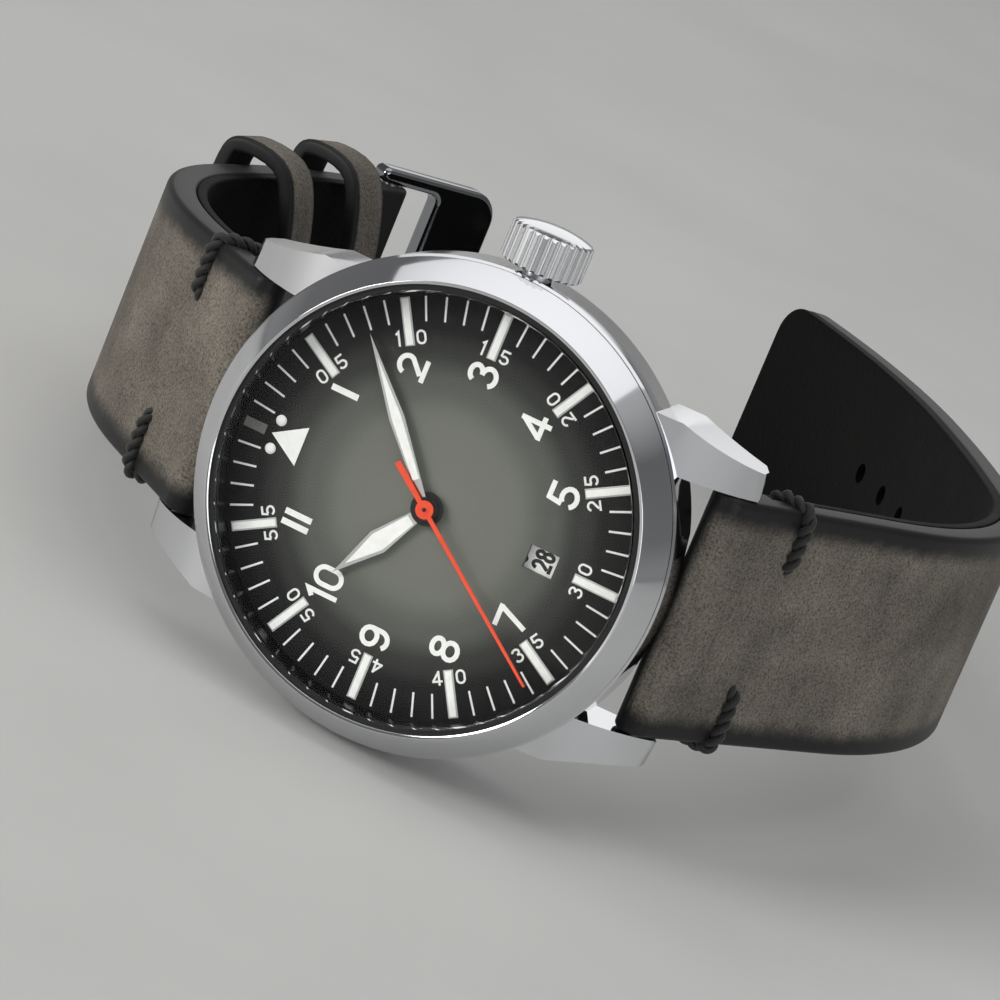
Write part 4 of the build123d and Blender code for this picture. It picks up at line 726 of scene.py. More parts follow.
def on_dial(piece, height, bevel_mm=0.0):
    """Move a piece drawn flat in millimetres on to the dial at a height, its edges rounded first."""
    mesh = piece.data
    if bevel_mm:
        work = bmesh.new()
        work.from_mesh(mesh)
        bmesh.ops.bevel(work, geom=work.edges[:], offset=bevel_mm, segments=2, affect="EDGES", profile=0.5)
        work.to_mesh(mesh)
        work.free()
    mesh.transform(dial_place @ Matrix.Translation((0, 0, height)))
    mesh.update()
    return piece


def marks_of(name, count, every, first, outer, size, finish):
    """One ring of marks on the dial, each with a length, a width and a thickness."""
    length, width, thick = size
    piece = bake(in_scene(name, bpy.data.meshes.new(name)), track, {
        "Count": count, "Leave Out Every": every, "First": first, "Middle Radius": outer - length / 2,
        "Length": length, "Width": width, "Height": thick, "Paint": finish}, name)
    return on_dial(piece, dial_high + thick / 2, 0.012)


track_outer, bar_width, bar_rim = 16.46, 0.79, 0.09
minute_ticks = marks_of("minute_ticks", 60, 5, 0, track_outer, (1.95, 0.17, 0.03), dial_print)
# A bar for every hour but twelve: no number from 1 to 11 is a multiple of 60, so none is left out. The bar is
# printed first, and the luminous paint lies on it a little narrower, which leaves a fine line round it.
hour_bars = marks_of("hour_bars", 12, 60, 1, track_outer, (3.8, bar_width, 0.03), bar_print)
bar_lume = marks_of("hour_bar_lume", 12, 60, 1, track_outer - bar_rim, (3.62, 0.55, 0.10), lume)
print("ticks:", len(minute_ticks.data.polygons), "faces, bars:", len(hour_bars.data.polygons), "faces")

# %% [markdown]
# ## Numerals
#
# The numerals are plain, even strokes with square ends, the way signs are lettered. A font would come with its
# own shapes and serifs, so each numeral is written here as a few lines and arcs on a grid one unit high, and
# a stroke function gives them their width. The same shapes serve the large hours, the small minutes and the
# thin numbers of the date disc.


# %% Numeral shapes
def arc(x, y, radius_x, radius_y, first, last, steps=14):
    """Points of an elliptical arc, its angles in degrees."""
    angles = [radians(first + (last - first) * step / steps) for step in range(steps + 1)]
    return [(x + radius_x * cos(a), y + radius_y * sin(a)) for a in angles]


def numeral_strokes(figure, weight):
    """The middle lines of one numeral on a grid one unit high, for a stroke weight, and its width."""
    edge, wide = weight / 2, 0.70
    left, right, low, high, mid = edge, wide - edge, edge, 1 - edge, wide / 2
    bow = (right - left) / 2
    bend, small, large = 0.32 - edge, (high - 0.54) / 2, (0.54 - low) / 2
    if figure == "0":
        ring = arc(mid, high - bow, bow, bow, 0, 180) + arc(mid, low + bow, bow, bow, 180, 360)
        return [ring + ring[:1]], wide
    if figure == "1":
        return [[(0.10, 0.80), (0.30, 1 - edge * 0.4), (0.30, 0.0)]], 0.30 + edge
    if figure == "2":
        bow_above = arc(mid, high - bow * 0.92, bow, bow * 0.92, 168, -30)
        return [bow_above + [(left + 0.10, low + 0.10)], [(0.0, low), (wide, low)]], wide
    if figure == "3":
        return [arc(mid, high - small, bow * 0.9, small, 165, -90),
                arc(mid, low + large, bow, large, 90, -165)], wide
    if figure == "4":
        stem = wide - 0.2
        return [[(stem, high), (left * 0.9, 0.30)], [(0.0, 0.28), (wide + 0.04, 0.28)],
                [(stem, 1.0), (stem, 0.0)]], wide
    if figure == "5":
        return [[(wide - 0.04, high), (0.14, high), (0.09, 0.50)],
                arc(mid - 0.01, low + bend, bow + 0.01, bend, 132, -160)], wide
    if figure == "6":
        side = [(left, low + bend), (left, high - 0.30)] + arc(mid, high - 0.28, bow, 0.28, 180, 35)
        return [arc(mid, low + bend, bow, bend, 0, 360), side], wide
    if figure == "7":
        return [[(0.0, high), (wide, high)], [(right, high - edge * 0.3), (0.24, 0.0)]], wide
    if figure == "8":
        return [arc(mid, high - small, bow * 0.93, small, 0, 360),
                arc(mid, low + large, bow, large, 0, 360)], wide
    side = [(right, high - bend), (right, low + 0.30)] + arc(mid, low + 0.28, bow, 0.28, 0, -145)
    return [arc(mid, high - bend, bow, bend, 0, 360), side], wide


def stroke_faces(work, line, width, high):
    """Add one stroke of a width along a line of points, from zero up to a height, to a mesh being made."""
    rails = []
    closed = (Vector(line[0]) - Vector(line[-1])).length < 1e-6
    for number, here in enumerate(line):
        here = Vector(here)
        back = Vector(line[number - 1]) if number else (Vector(line[-2]) if closed else None)
        on = Vector(line[number + 1]) if number + 1 < len(line) else (Vector(line[1]) if closed else None)
        before = (here - back).normalized() if back else (on - here).normalized()
        after = (on - here).normalized() if on else before
        side = Vector((-before.y, before.x)) + Vector((-after.y, after.x))
        side = side / max(side.length_squared / 2, 0.35)
        rails.append([work.verts.new((here + side * way * width / 2).to_3d() + Vector((0, 0, level)))
                      for way, level in ((1, 0.0), (-1, 0.0), (-1, high), (1, high))])
    skin(work, rails)
    if not closed:
        work.faces.new(rails[0])
        work.faces.new(rails[-1][::-1])


def write(work, words, x, y, height, weight, high, turn=0.0, narrow=1.0):
    """Write numerals centred on a place, their top turned counter-clockwise by some degrees."""
    gap, lift = 0.12, 0.002
    drawn = [numeral_strokes(figure, weight) for figure in words]
    start = -(sum(width for _, width in drawn) + gap * (len(drawn) - 1)) / 2
    spin = Matrix.Rotation(radians(turn), 2)
    for strokes, width in drawn:
        for number, line in enumerate(strokes):
            points = [spin @ (Vector(((start + px) * narrow, py - 0.5)) * height) + Vector((x, y))
                      for px, py in line]
            stroke_faces(work, points, weight * height, high + number * lift)
        start += width + gap


print("strokes of 8:", [len(line) for line in numeral_strokes("8", 0.15)[0]])

# %% Hours and minutes
marker_high, print_high = 0.05, 0.02
hour_places = {
    "2": (9.57, 5.56), "3": (11.32, 0.07), "4": (9.42, -5.28), "5": (5.52, -9.50), "7": (-5.17, -9.42),
    "8": (-9.57, -5.45), "9": (-11.25, 0.07), "10": (-9.14, 5.35)}
hour_size, hour_weight = 2.55, 0.155
hours = bmesh.new()
for words, (x, y) in hour_places.items():
    write(hours, words, x, y, hour_size, hour_weight, marker_high)
one_width, one_half = 0.49, 1.16
for x, y in ((5.45, 9.78), (-5.52 - 0.42, 9.50), (-5.52 + 0.42, 9.50)):
    stroke_faces(hours, [(x, y - one_half), (x, y + one_half)], one_width, marker_high)
hour_numerals = on_dial(piece_from(hours, "hour_numerals", lume), dial_high)

minutes = bmesh.new()
figure_radius, figure_side, minute_size, minute_weight = 13.26, 0.98, 1.15, 0.15
for minute in range(5, 60, 5):
    heading = radians(6 * minute)
    outward, clockwise = Vector((sin(heading), cos(heading))), Vector((cos(heading), -sin(heading)))
    upright = 15 < minute < 45
    turn = -6 * minute + (180 if upright else 0)
    words = f"{minute:02d}"
    for way, figure in zip((1, -1) if upright else (-1, 1), words):
        spot = outward * figure_radius + clockwise * way * figure_side
        write(minutes, figure, spot.x, spot.y, minute_size, minute_weight, print_high, turn)
minute_numerals = on_dial(piece_from(minutes, "minute_numerals", dial_print), dial_high)
print("numerals:", len(hour_numerals.data.polygons), "and", len(minute_numerals.data.polygons), "faces")

# %% [markdown]
# ## Triangle, dots and twelve o'clock bar
#
# A triangle between two dots marks twelve, so that the watch is set the right way up in the dark. The short
# bar beyond it takes the place of the full bar of the other hours. Its dark grey is painted shadow: the shade
# that the bezel casts on the dial's twelve o'clock side.

# %% Twelve o'clock
apex = bmesh.new()
corners = [(0.0, 14.06), (1.65, 11.36), (-1.65, 11.36)]
rings = [[apex.verts.new((x, y, h)) for x, y in corners] for h in (0.0, marker_high + 0.02)]
skin(apex, rings)
apex.faces.new(rings[0][::-1])
apex.faces.new(rings[1])
bmesh.ops.bevel(apex, geom=apex.edges[:], offset=0.03, segments=2, affect="EDGES", profile=0.5)
triangle = on_dial(piece_from(apex, "twelve_triangle", lume), dial_high)

dots = bmesh.new()
dot_radius, dot_side, dot_out, dot_squash = 0.45, 1.2, 13.7, 0.5
for way in (-1, 1):
    made = bmesh.ops.create_uvsphere(dots, u_segments=24, v_segments=12, radius=dot_radius)
    for vertex in made["verts"]:
        vertex.co = Vector((vertex.co.x + way * dot_side, vertex.co.y + dot_out, vertex.co.z * dot_squash))
for face in dots.faces:
    face.smooth = True
twelve_dots = on_dial(piece_from(dots, "twelve_dots", lume), dial_high)

bar = bmesh.new()
stroke_faces(bar, [(0, 14.6), (0, track_outer)], bar_width, marker_high)
# Its dark grey paint is painted shadow of the bezel on the dial's twelve o'clock side
twelve_bar = on_dial(piece_from(bar, "twelve_bar", twelve_bar_shadow_paint), dial_high)

on_the_dial = (minute_ticks, hour_bars, bar_lume, hour_numerals, minute_numerals,
               triangle, twelve_dots, twelve_bar)
for piece in on_the_dial:
    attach(piece, "case")
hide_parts("dial_markers")
print("pieces on the dial:", len(on_the_dial))

# %% [markdown]
# ## Date disc numbers
#
# The date shows through a window at six. The disc carries all 31 numbers, evenly round it, each with its top
# towards the middle, so that turning the disc by one tooth brings the next number to the window.

# %% Date numbers
disc_top = max(v.co.dot(dial_out) for v in frame["nodes"]["date_disc"].data.vertices) / MM
dates = bmesh.new()
days, day_shown, day_radius = 31, 28, 9.8
day_size, day_weight, ink_high, day_narrow = 1.7, 0.17, 0.015, 0.60
for day in range(1, days + 1):
    turn = (day - day_shown) * 360 / days
    spot = Matrix.Rotation(radians(turn), 2) @ Vector((0.0, -day_radius))
    write(dates, str(day), spot.x, spot.y, day_size, day_weight, ink_high, turn, day_narrow)
date_numbers = on_dial(piece_from(dates, "date_numbers", date_ink), disc_top)
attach(date_numbers, "date_body")
print("the date disc's face is", round(dial_high - disc_top, 2), "mm below the dial's")

# %% [markdown]
# ## Path of the strap
#
# Each strap piece is a long ribbon that leaves its spring bar at an angle, runs straight and then bends in
# arcs. Its middle line is worked out in the plane that halves the watch, from the same lengths and turns as
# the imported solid, so the modelled leather lies where the solid lies.

# %% Strap path
bar_distance, bar_height, strap_half = 21.0, 4.0, 10.4
strap_rows = {
    "long": {"way": -1, "length": 121.0, "heading": 28.0, "end_width": 18.8, "outer": 1.6, "inner": 1.7,
             "lining_end": 121.0, "folded": False, "bends": [(0.18, 0), (0.29, -50), (0.22, -6), (0.31, -19)]},
    "short": {"way": 1, "length": 74.0, "heading": 45.5, "end_width": 19.0, "outer": 1.5, "inner": 2.1,
              "lining_end": 69.0, "folded": True, "bends": [(0.16, 0), (0.39, -47), (0.45, -16)]},
}


def station(strap, distance):
    """Place and heading, in the side plane, of a strap's middle line at a distance from its spring bar."""
    across, height, heading = bar_distance, bar_height, strap["heading"]
    inside = min(max(distance, 0.0), strap["length"])
    left = inside
    for share, turn in strap["bends"]:
        run = min(left, share * strap["length"])
        if turn:
            radius = share * strap["length"] / radians(-turn)
            ahead = heading - degrees(run / radius)
            across += radius * (cos(radians(ahead)) - cos(radians(heading)))
            height -= radius * (sin(radians(heading)) - sin(radians(ahead)))
            heading = ahead
        else:
            across += run * sin(radians(heading))
            height -= run * cos(radians(heading))
        left -= run
    beyond = distance - inside
    across += beyond * sin(radians(heading))
    height -= beyond * cos(radians(heading))
    return strap["way"] * across, height, heading


def on_strap(strap, distance, x, normal):
    """A place on a strap: along it, across it, and out of its middle line, as a point of the model."""
    across, height, heading = station(strap, distance)
    out = radians(heading)
    return place(x, across + normal * strap["way"] * cos(out), height + normal * sin(out))


def half_width(strap, distance):
    """Half the strap's width, which narrows from the spring bar to the end."""
    height = station(strap, distance)[1]
    end_height = station(strap, strap["length"])[1]
    slope = (strap_half - strap["end_width"] / 2) / (bar_height - end_height)
    return strap_half - slope * (bar_height - height)


for name, strap in strap_rows.items():
    print(name, "strap ends at", [round(v, 1) for v in station(strap, strap["length"])])

# %% [markdown]
# ## Leather of the strap
#
# A strap is a cross-section carried along that path: a flat ribbon with rounded, burnished corners. It could
# be a Solidify on a plane, but the corners' rounding is what makes leather look like leather, so the section
# has its own arcs. Near the spring bar the leather folds round the bar, so the section thins there to a half
# round end, and near the tip it narrows to rounded corners. The holes are cut with a Boolean.


# %% Cross-section
def section(half, low, high, outer_round, inner_round, spans):
    """The ring of a strap's cross-section: places across and out of the middle line."""
    outer_round = min(outer_round, (high - low) * 0.45)
    inner_round = min(inner_round, (high - low) * 0.45)
    reach, above = half - outer_round, high - outer_round
    back, below = half - inner_round, low + inner_round
    # Each corner is four points of an arc, and the flat face beside it has the arc's fifth point
    ring = [(-reach + 2 * reach * span / spans, high) for span in range(spans + 1)]
    ring += arc(reach, above, outer_round, outer_round, 67.5, 0, 3)
    ring += arc(back, below, inner_round, inner_round, 0, -67.5, 3)
    ring += [(back - 2 * back * span / spans, low) for span in range(spans + 1)]
    ring += arc(-back, below, inner_round, inner_round, -112.5, -180, 3)
    return ring + arc(-reach, above, outer_round, outer_round, 180, 112.5, 3)


def ribbon(name, strap, rows, material, rounds=(0.55, 0.35), spans=24):
    """Carry the section along the strap. Each row is a distance, a half width and the two faces' places."""
    work = bmesh.new()
    rings = []
    for distance, half, low, high in rows:
        ring = section(half, low, high, *rounds, spans)
        rings.append([work.verts.new(on_strap(strap, distance, x, normal)) for x, normal in ring])
    skin(work, rings)
    work.faces.new(rings[0][::-1])
    work.faces.new(rings[-1])
    return piece_from(work, name, material)


print("points round the leather:", len(section(strap_half, -1.7, 1.6, 0.55, 0.35, 24)))


# %% Rows along the leather
def distances(first, last, pace):
    """Evenly spaced distances from first to last."""
    steps = max(1, round((last - first) / pace))
    return [first + (last - first) * step / steps for step in range(steps + 1)]


loop_radius, lining_start, lining_thickness, tip_corner, pace = 1.75, 5.0, 1.0, 3.0, 1.2
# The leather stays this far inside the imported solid, and two rows this close together make a step in it
hair = 0.02


def tip_rows(strap, low, high):
    """The last rows of a strap, narrowed by its rounded corners."""
    rows = []
    for step in range(1, 9):
        a = radians(90 * step / 8)
        half = half_width(strap, strap["length"]) - tip_corner + tip_corner * cos(a) - hair
        rows.append((strap["length"] - tip_corner + tip_corner * sin(a), half, low, high))
    return rows


def leather_rows(strap):
    """Distances and sizes of a strap's outer leather, from the fold round its spring bar to its end."""
    outer, inner, length = strap["outer"], strap["inner"], strap["length"]
    split, rows = lining_thickness - inner, []
    for distance in (-1.70, -1.5, -1.2, -0.8, -0.4, 0.0):
        fold = sqrt(loop_radius ** 2 - distance ** 2)
        rows.append((distance, strap_half - hair, -min(fold, inner), min(fold, outer)))
    for distance in distances(0.5, lining_start, pace):
        rows.append((distance, half_width(strap, distance) - hair, -inner, outer))
    stop = strap["lining_end"] if strap["folded"] else length - tip_corner
    for distance in distances(lining_start + hair, stop, pace):
        rows.append((distance, half_width(strap, distance) - hair, split, outer))
    if not strap["folded"]:
        return rows + tip_rows(strap, split, outer)
    for distance in distances(stop + hair, length, pace):
        rows.append((distance, half_width(strap, distance) - hair, -inner, outer))
    for beyond in (0.4, 0.8, 1.2, 1.5, 1.7):
        fold = sqrt(loop_radius ** 2 - beyond ** 2)
        rows.append((length + beyond, half_width(strap, length) - hair, -min(fold, inner), min(fold, outer)))
    return rows


def lining_rows(strap):
    """The same for the lining, which lies a little further in than the leather."""
    glue_gap, inset, tip_inset = 0.01, 0.05, 0.03
    top = lining_thickness - strap["inner"] - glue_gap
    stop = strap["lining_end"] - (inset if strap["folded"] else tip_corner)
    rows = [(d, half_width(strap, d) - inset, -strap["inner"], top)
            for d in distances(lining_start + inset, stop, pace)]
    if not strap["folded"]:
        rows += [(d, half - tip_inset, -strap["inner"], top) for d, half, _, _ in tip_rows(strap, 0, 0)]
    return rows


for name, strap in strap_rows.items():
    print(name, "leather rows:", len(leather_rows(strap)), "lining rows:", len(lining_rows(strap)))

# %% Holes and slot
first_hole, hole_pitch, hole_count, hole_radius, cut_reach = 27.0, 7.0, 7, 1.0, 3.0


def hole_distances(strap):
    """Where the holes for the buckle's tongue lie along a strap. The one that holds the buckle has none."""
    if strap["folded"]:
        return []
    return [strap["length"] - first_hole - hole_pitch * number for number in range(hole_count)]


def hole_cutters(strap):
    """Round cutters for the holes."""
    work = bmesh.new()
    angles = [2 * pi * step / 28 for step in range(28)]
    for distance in hole_distances(strap):
        rings = []
        for normal in (-cut_reach, cut_reach):
            aside = on_strap(strap, distance, 0, normal) - on_strap(strap, distance, 0, 0)
            circle = [(distance + hole_radius * cos(a), hole_radius * sin(a)) for a in angles]
            rings.append([work.verts.new(on_strap(strap, d, x, 0) + aside) for d, x in circle])
        skin(work, rings)
        work.faces.new(rings[0][::-1])
        work.faces.new(rings[1])
    return mesh_from(work, "hole_cutters")


def slot_cutter(strap):
    """A cutter for the slot that the tongue moves in, at the buckle end."""
    work = bmesh.new()
    back, on, half = -5.5, 3.0, 1.7
    corners = [(x, d, n) for n in (-cut_reach, cut_reach)
               for d, x in ((back, -half), (back, half), (on, half), (on, -half))]
    end = on_strap(strap, strap["length"], 0, 0)
    made = [work.verts.new(on_strap(strap, strap["length"], x, n)
                           + (on_strap(strap, strap["length"] + d, 0, 0) - end)) for x, d, n in corners]
    for face in ((0, 1, 2, 3), (4, 5, 6, 7), (0, 1, 5, 4), (1, 2, 6, 5), (2, 3, 7, 6), (3, 0, 4, 7)):
        work.faces.new([made[number] for number in face])
    return mesh_from(work, "slot_cutter")


def cut(piece, cutters):
    """Cut closed shapes out of a piece and keep the result as its mesh."""
    tool = in_scene("cutters", cutters)
    modifier = piece.modifiers.new("holes", "BOOLEAN")
    modifier.object, modifier.operation, modifier.solver = tool, "DIFFERENCE", "EXACT"
    mesh = bpy.data.meshes.new_from_object(piece.evaluated_get(bpy.context.evaluated_depsgraph_get()))
    piece.modifiers.remove(modifier)
    piece.data = mesh
    bpy.data.objects.remove(tool)


print("hole places:", hole_distances(strap_rows["long"]))


# %% Dye marks
def mark_leather(piece, strap):
    """Store on each vertex how far it lies from a cut edge and whether it is on the outer face."""
    mesh = piece.data
    samples = distances(-2.0, strap["length"] + 2.0, 0.5)
    spots = [(d, on_strap(strap, d, 0, 0), on_strap(strap, d, 0, 1) - on_strap(strap, d, 0, 0))
             for d in samples]
    from_edge = mesh.attributes.new("edge_mm", "FLOAT", "POINT")
    outer = mesh.attributes.new("outer_face", "FLOAT", "POINT")
    hole_border, face_depth = 0.6, 0.35
    for vertex in mesh.vertices:
        x = vertex.co.dot(to_three) / MM
        middle = vertex.co - to_three * x * MM
        d, spot, normal = min(spots, key=lambda row: (row[1] - middle).length_squared)
        edge = half_width(strap, d) - abs(x)
        if not strap["folded"]:
            edge = min(edge, strap["length"] - d)
        for hole in hole_distances(strap):
            edge = min(edge, sqrt(x * x + (d - hole) ** 2) - hole_radius + hole_border)
        from_edge.data[vertex.index].value = max(edge, 0.0)
        height = (middle - spot).dot(normal) / normal.length_squared
        on_face = height > strap["outer"] - face_depth or (d < 0.5 and height > 0)
        outer.data[vertex.index].value = 1.0 if on_face else 0.0


for name, strap in strap_rows.items():
    body = name + "_strap_body"
    leather = ribbon(name + "_strap_leather", strap, leather_rows(strap), suede)
    lined = ribbon(name + "_strap_backing", strap, lining_rows(strap), lining, rounds=(0.12, 0.3), spans=12)
    if strap["folded"]:
        cut(leather, slot_cutter(strap))
    else:
        cut(leather, hole_cutters(strap))
        cut(lined, hole_cutters(strap))
    mark_leather(leather, strap)
    for piece in (leather, lined):
        crisp_edges(piece)
        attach(piece, body)
    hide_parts(name + "_strap")
    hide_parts(name + "_strap_lining")
    print(name, "strap leather:", len(leather.data.polygons), "faces, lining:", len(lined.data.polygons))

# %% [markdown]
# ## Keepers
#
# Two leather loops hold the long strap's end when the watch is worn. Here they are empty, so each lies flat on
# the outer face and bows away on the wrist side. A band's rounded section is carried round the loop's outline,
# and its corners are eased, because thick leather doesn't fold sharply.


# %% Keeper loops
def loop_outline(half, top, low, bow, corner):
    """The closed outer line of a keeper, in places across the strap and out of it."""
    line = [(-half + corner + (2 * half - 2 * corner) * step / 8, top) for step in range(9)]
    line += [(half - corner + corner * sin(a), top - corner + corner * cos(a))
             for a in (radians(90 * step / 8) for step in range(1, 9))]
    line.append((half, low + 0.5))
    deep = (half * half + bow * bow) / (2 * bow)
    spread = degrees(asin(half / deep))
    for step in range(0, 25):
        a = radians(spread - 2 * spread * step / 24)
        line.append((deep * sin(a), low + deep - bow - deep * cos(a)))
    line.append((-half, low + 0.5))
    line += [(-half + corner - corner * cos(a), top - corner + corner * sin(a))
             for a in (radians(90 * step / 8) for step in range(0, 8))]
    return line


def eased(line, times):
    """A closed line with its corners eased by averaging each point with its neighbours."""
    for _ in range(times):
        line = [((back[0] + 2 * here[0] + on[0]) / 4, (back[1] + 2 * here[1] + on[1]) / 4)
                for back, here, on in zip(line[-1:] + line[:-1], line, line[1:] + line[:1])]
    return line


def keeper(name, node, strap, where, gap):
    """A leather loop round the strap at a distance from the spring bar."""
    thick, band, side_room, bow, depth, corner = 1.4, 5.0, 1.0, 3.6, 4.6, 2.4
    top = strap["outer"] + gap + thick
    half = strap_half + side_room + thick
    line = eased(loop_outline(half, top, top - corner - depth, bow, corner), 6)
    profile = section(band / 2, 0.0, thick, 0.45, 0.3, 6)
    ahead = on_strap(strap, where + 0.5, 0, 0) - on_strap(strap, where - 0.5, 0, 0)
    base = on_strap(strap, where, 0, 0)
    out = on_strap(strap, where, 0, 1) - base
    work = bmesh.new()
    rings, count = [], len(line)
    middle = Vector((0, sum(p[1] for p in line) / count))
    for number, here in enumerate(line):
        before, after = Vector(line[number - 1]), Vector(line[(number + 1) % count])
        along = (after - before).normalized()
        inward = Vector((-along.y, along.x))
        if inward.dot(middle - Vector(here)) < 0:
            inward = -inward
        ring = []
        for across, deep in profile:
            spot = Vector(here) + inward * (thick - deep)
            ring.append(work.verts.new(base + to_three * MM * spot.x + out * spot.y + ahead * across))
        rings.append(ring)
    skin(work, rings + rings[:1])
    piece = piece_from(work, name, keeper_suede)
    from_edge = piece.data.attributes.new("edge_mm", "FLOAT", "POINT")
    outer = piece.data.attributes.new("outer_face", "FLOAT", "POINT")
    for vertex in piece.data.vertices:
        across, deep = profile[vertex.index % len(profile)]
        from_edge.data[vertex.index].value = band / 2 - abs(across)
        outer.data[vertex.index].value = 1.0 if deep > thick - 0.02 else 0.0
    crisp_edges(piece)
    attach(piece, body_of[node])
    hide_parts(node)
    print(name, len(piece.data.polygons), "faces")


keeper("sewn_keeper_loop", "fixed_keeper", strap_rows["short"], where=48.5, gap=0.12)
keeper("sliding_keeper_loop", "free_keeper", strap_rows["short"], where=62.7, gap=0.3)

# %% [markdown]
# ## Buckle frame
#
# The frame is one steel bar bent round a window, with well rounded corners and edges. Its outline is drawn
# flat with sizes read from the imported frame, and each layer of its thickness is the same outline drawn a
# little further in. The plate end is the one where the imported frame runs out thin.

# %% Sizes of the frame
def thin_direction(points):
    """The direction in which a flat piece is thinnest, found from its points."""
    centre = sum(points, Vector()) / len(points)
    best = None
    for step in range(180):
        a = radians(step)
        way = cos(a) * to_twelve + sin(a) * dial_out
        places = [(point - centre).dot(way) for point in points]
        if best is None or max(places) - min(places) < best[0]:
            best = (max(places) - min(places), way)
    return best[1]


points = [vertex.co for vertex in frame["nodes"]["buckle_frame"].data.vertices]
thin = thin_direction(points)
along = to_three.cross(thin)
ends = [pick(point.dot(along) for point in points) for pick in (min, max)]
depths = [[point.dot(thin) for point in points if abs(point.dot(along) - end) < 0.05 * MM] for end in ends]
if max(depths[1]) - min(depths[1]) > max(depths[0]) - min(depths[0]):
    along = -along
far = [point.dot(along) / MM for point in points]
side = [abs(point.dot(to_three)) / MM for point in points]
deep = [point.dot(thin) / MM for point in points]
outer, back, front = max(side), min(far), max(far)
inner = min(across for ahead, across in zip(far, side) if ahead < back + 0.05)
window = max(ahead for ahead, across in zip(far, side) if abs(across - inner) < 0.01)
half_deep, mid_deep = (max(deep) - min(deep)) / 2, (max(deep) + min(deep)) / 2
print("buckle frame:", round(2 * outer, 1), "by", round(front - back, 1), "mm")
print("its window reaches", round(window - back, 1), "mm from the open end")

# %% Buckle frame
end_round, front_round, window_round, edge_round = 0.75, 2.8, 0.9, 0.5
corners = [(outer, back, end_round), (outer, front, front_round), (-outer, front, front_round),
           (-outer, back, end_round), (-inner, back, end_round), (-inner, window, window_round),
           (inner, window, window_round), (inner, back, end_round)]
line = []
for number, (across, ahead, size) in enumerate(corners):
    here = Vector((across, ahead))
    back_way = (Vector(corners[number - 1][:2]) - here).normalized() * size
    on_way = (Vector(corners[(number + 1) % 8][:2]) - here).normalized() * size
    for step in range(9):
        a = radians(step * 90 / 8)
        line.append(here + back_way * (1 - sin(a)) + on_way * (1 - cos(a)))
line = [point for number, point in enumerate(line) if (point - line[number - 1]).length > 0.01]
outwards = []
for number, here in enumerate(line):
    turn = (line[(number + 1) % len(line)] - line[number - 1]).normalized()
    outwards.append(Vector((turn.y, -turn.x)))
layers = [(edge_round + 0.04, -half_deep)]
layers += [(edge_round * (1 - sin(radians(a))), -half_deep + edge_round * (1 - cos(radians(a))))
           for a in range(0, 91, 15)]
layers += [(inset, -depth) for inset, depth in reversed(layers)]
work = bmesh.new()
rings = [[work.verts.new((to_three * (here - way * inset).x + along * (here - way * inset).y
                          + thin * (mid_deep + depth)) * MM) for here, way in zip(line, outwards)]
         for inset, depth in layers]
skin(work, rings)
work.faces.new(rings[0])
work.faces.new(reversed(rings[-1]))
# The frame's darker steel tone is painted shade, not a different metal
finished_frame = piece_from(work, "finished_buckle_frame", buckle_steel_in_painted_shade)
crisp_edges(finished_frame, 50)
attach(finished_frame, body_of["buckle_frame"])
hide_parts("buckle_frame")
print("buckle frame:", len(line), "points round,", len(layers), "layers")

# %% [markdown]
# ## Twisted cord stitches
#
# Each strap edge is bound once near the lugs by a two-strand cord that comes up through a hole, crosses to the
# edge and goes round it. The strands wind round the cord's middle line, and a Geometry Nodes tree does that:
# it moves each point of the line aside by an angle that grows with its distance along the line, and then gives
# both strands their thickness. Its inputs are the strand's radius and the length of one full twist.

# %% Cord tree
twist, given, result = geometry_tree("two_strand_cord", [
    ("Strand Radius", "NodeSocketFloat"), ("Twist Length", "NodeSocketFloat"), ("Step", "NodeSocketFloat"),
    ("Thread", "NodeSocketMaterial")])
even = add(twist, "GeometryNodeResampleCurve", {
    "Curve": given.outputs["Geometry"], "Length": given.outputs["Step"]}, mode="LENGTH")
far = add(twist, "GeometryNodeSplineParameter").outputs["Length"]
turns = add(twist, "ShaderNodeMath", {0: far, 1: given.outputs["Twist Length"]}, operation="DIVIDE")
normal = add(twist, "GeometryNodeInputNormal")
tangent = add(twist, "GeometryNodeInputTangent")
sideways = add(twist, "ShaderNodeVectorMath", {0: tangent, 1: normal}, operation="CROSS_PRODUCT")
circle = add(twist, "GeometryNodeCurvePrimitiveCircle", {
    "Resolution": 10, "Radius": given.outputs["Strand Radius"]})
joined = add(twist, "GeometryNodeJoinGeometry")
for half_turn in (0.0, 0.5):
    phase = add(twist, "ShaderNodeMath", {0: turns, 1: half_turn}, operation="ADD")
    angle = add(twist, "ShaderNodeMath", {0: phase, 1: 2 * pi}, operation="MULTIPLY")
    cosine = add(twist, "ShaderNodeMath", {0: angle}, operation="COSINE")
    sine = add(twist, "ShaderNodeMath", {0: angle}, operation="SINE")
    one = add(twist, "ShaderNodeVectorMath", {0: normal, "Scale": cosine}, operation="SCALE")
    two = add(twist, "ShaderNodeVectorMath", {0: sideways, "Scale": sine}, operation="SCALE")
    both = add(twist, "ShaderNodeVectorMath", {0: one, 1: two}, operation="ADD")
    aside = add(twist, "ShaderNodeVectorMath", {0: both, "Scale": given.outputs["Strand Radius"]},
                operation="SCALE")
    strand = add(twist, "GeometryNodeSetPosition", {"Geometry": even, "Offset": aside})
    thick = add(twist, "GeometryNodeCurveToMesh", {
        "Curve": strand, "Profile Curve": circle, "Fill Caps": True})
    twist.links.new(thick.outputs[0], joined.inputs[0])
real = add(twist, "GeometryNodeRealizeInstances", {"Geometry": joined})
soft = add(twist, "GeometryNodeSetShadeSmooth", {"Geometry": real})
dyed = add(twist, "GeometryNodeSetMaterial", {"Geometry": soft, "Material": given.outputs["Thread"]})
twist.links.new(dyed.outputs[0], result.inputs[0])
print("cord tree:", len(twist.nodes), "nodes")


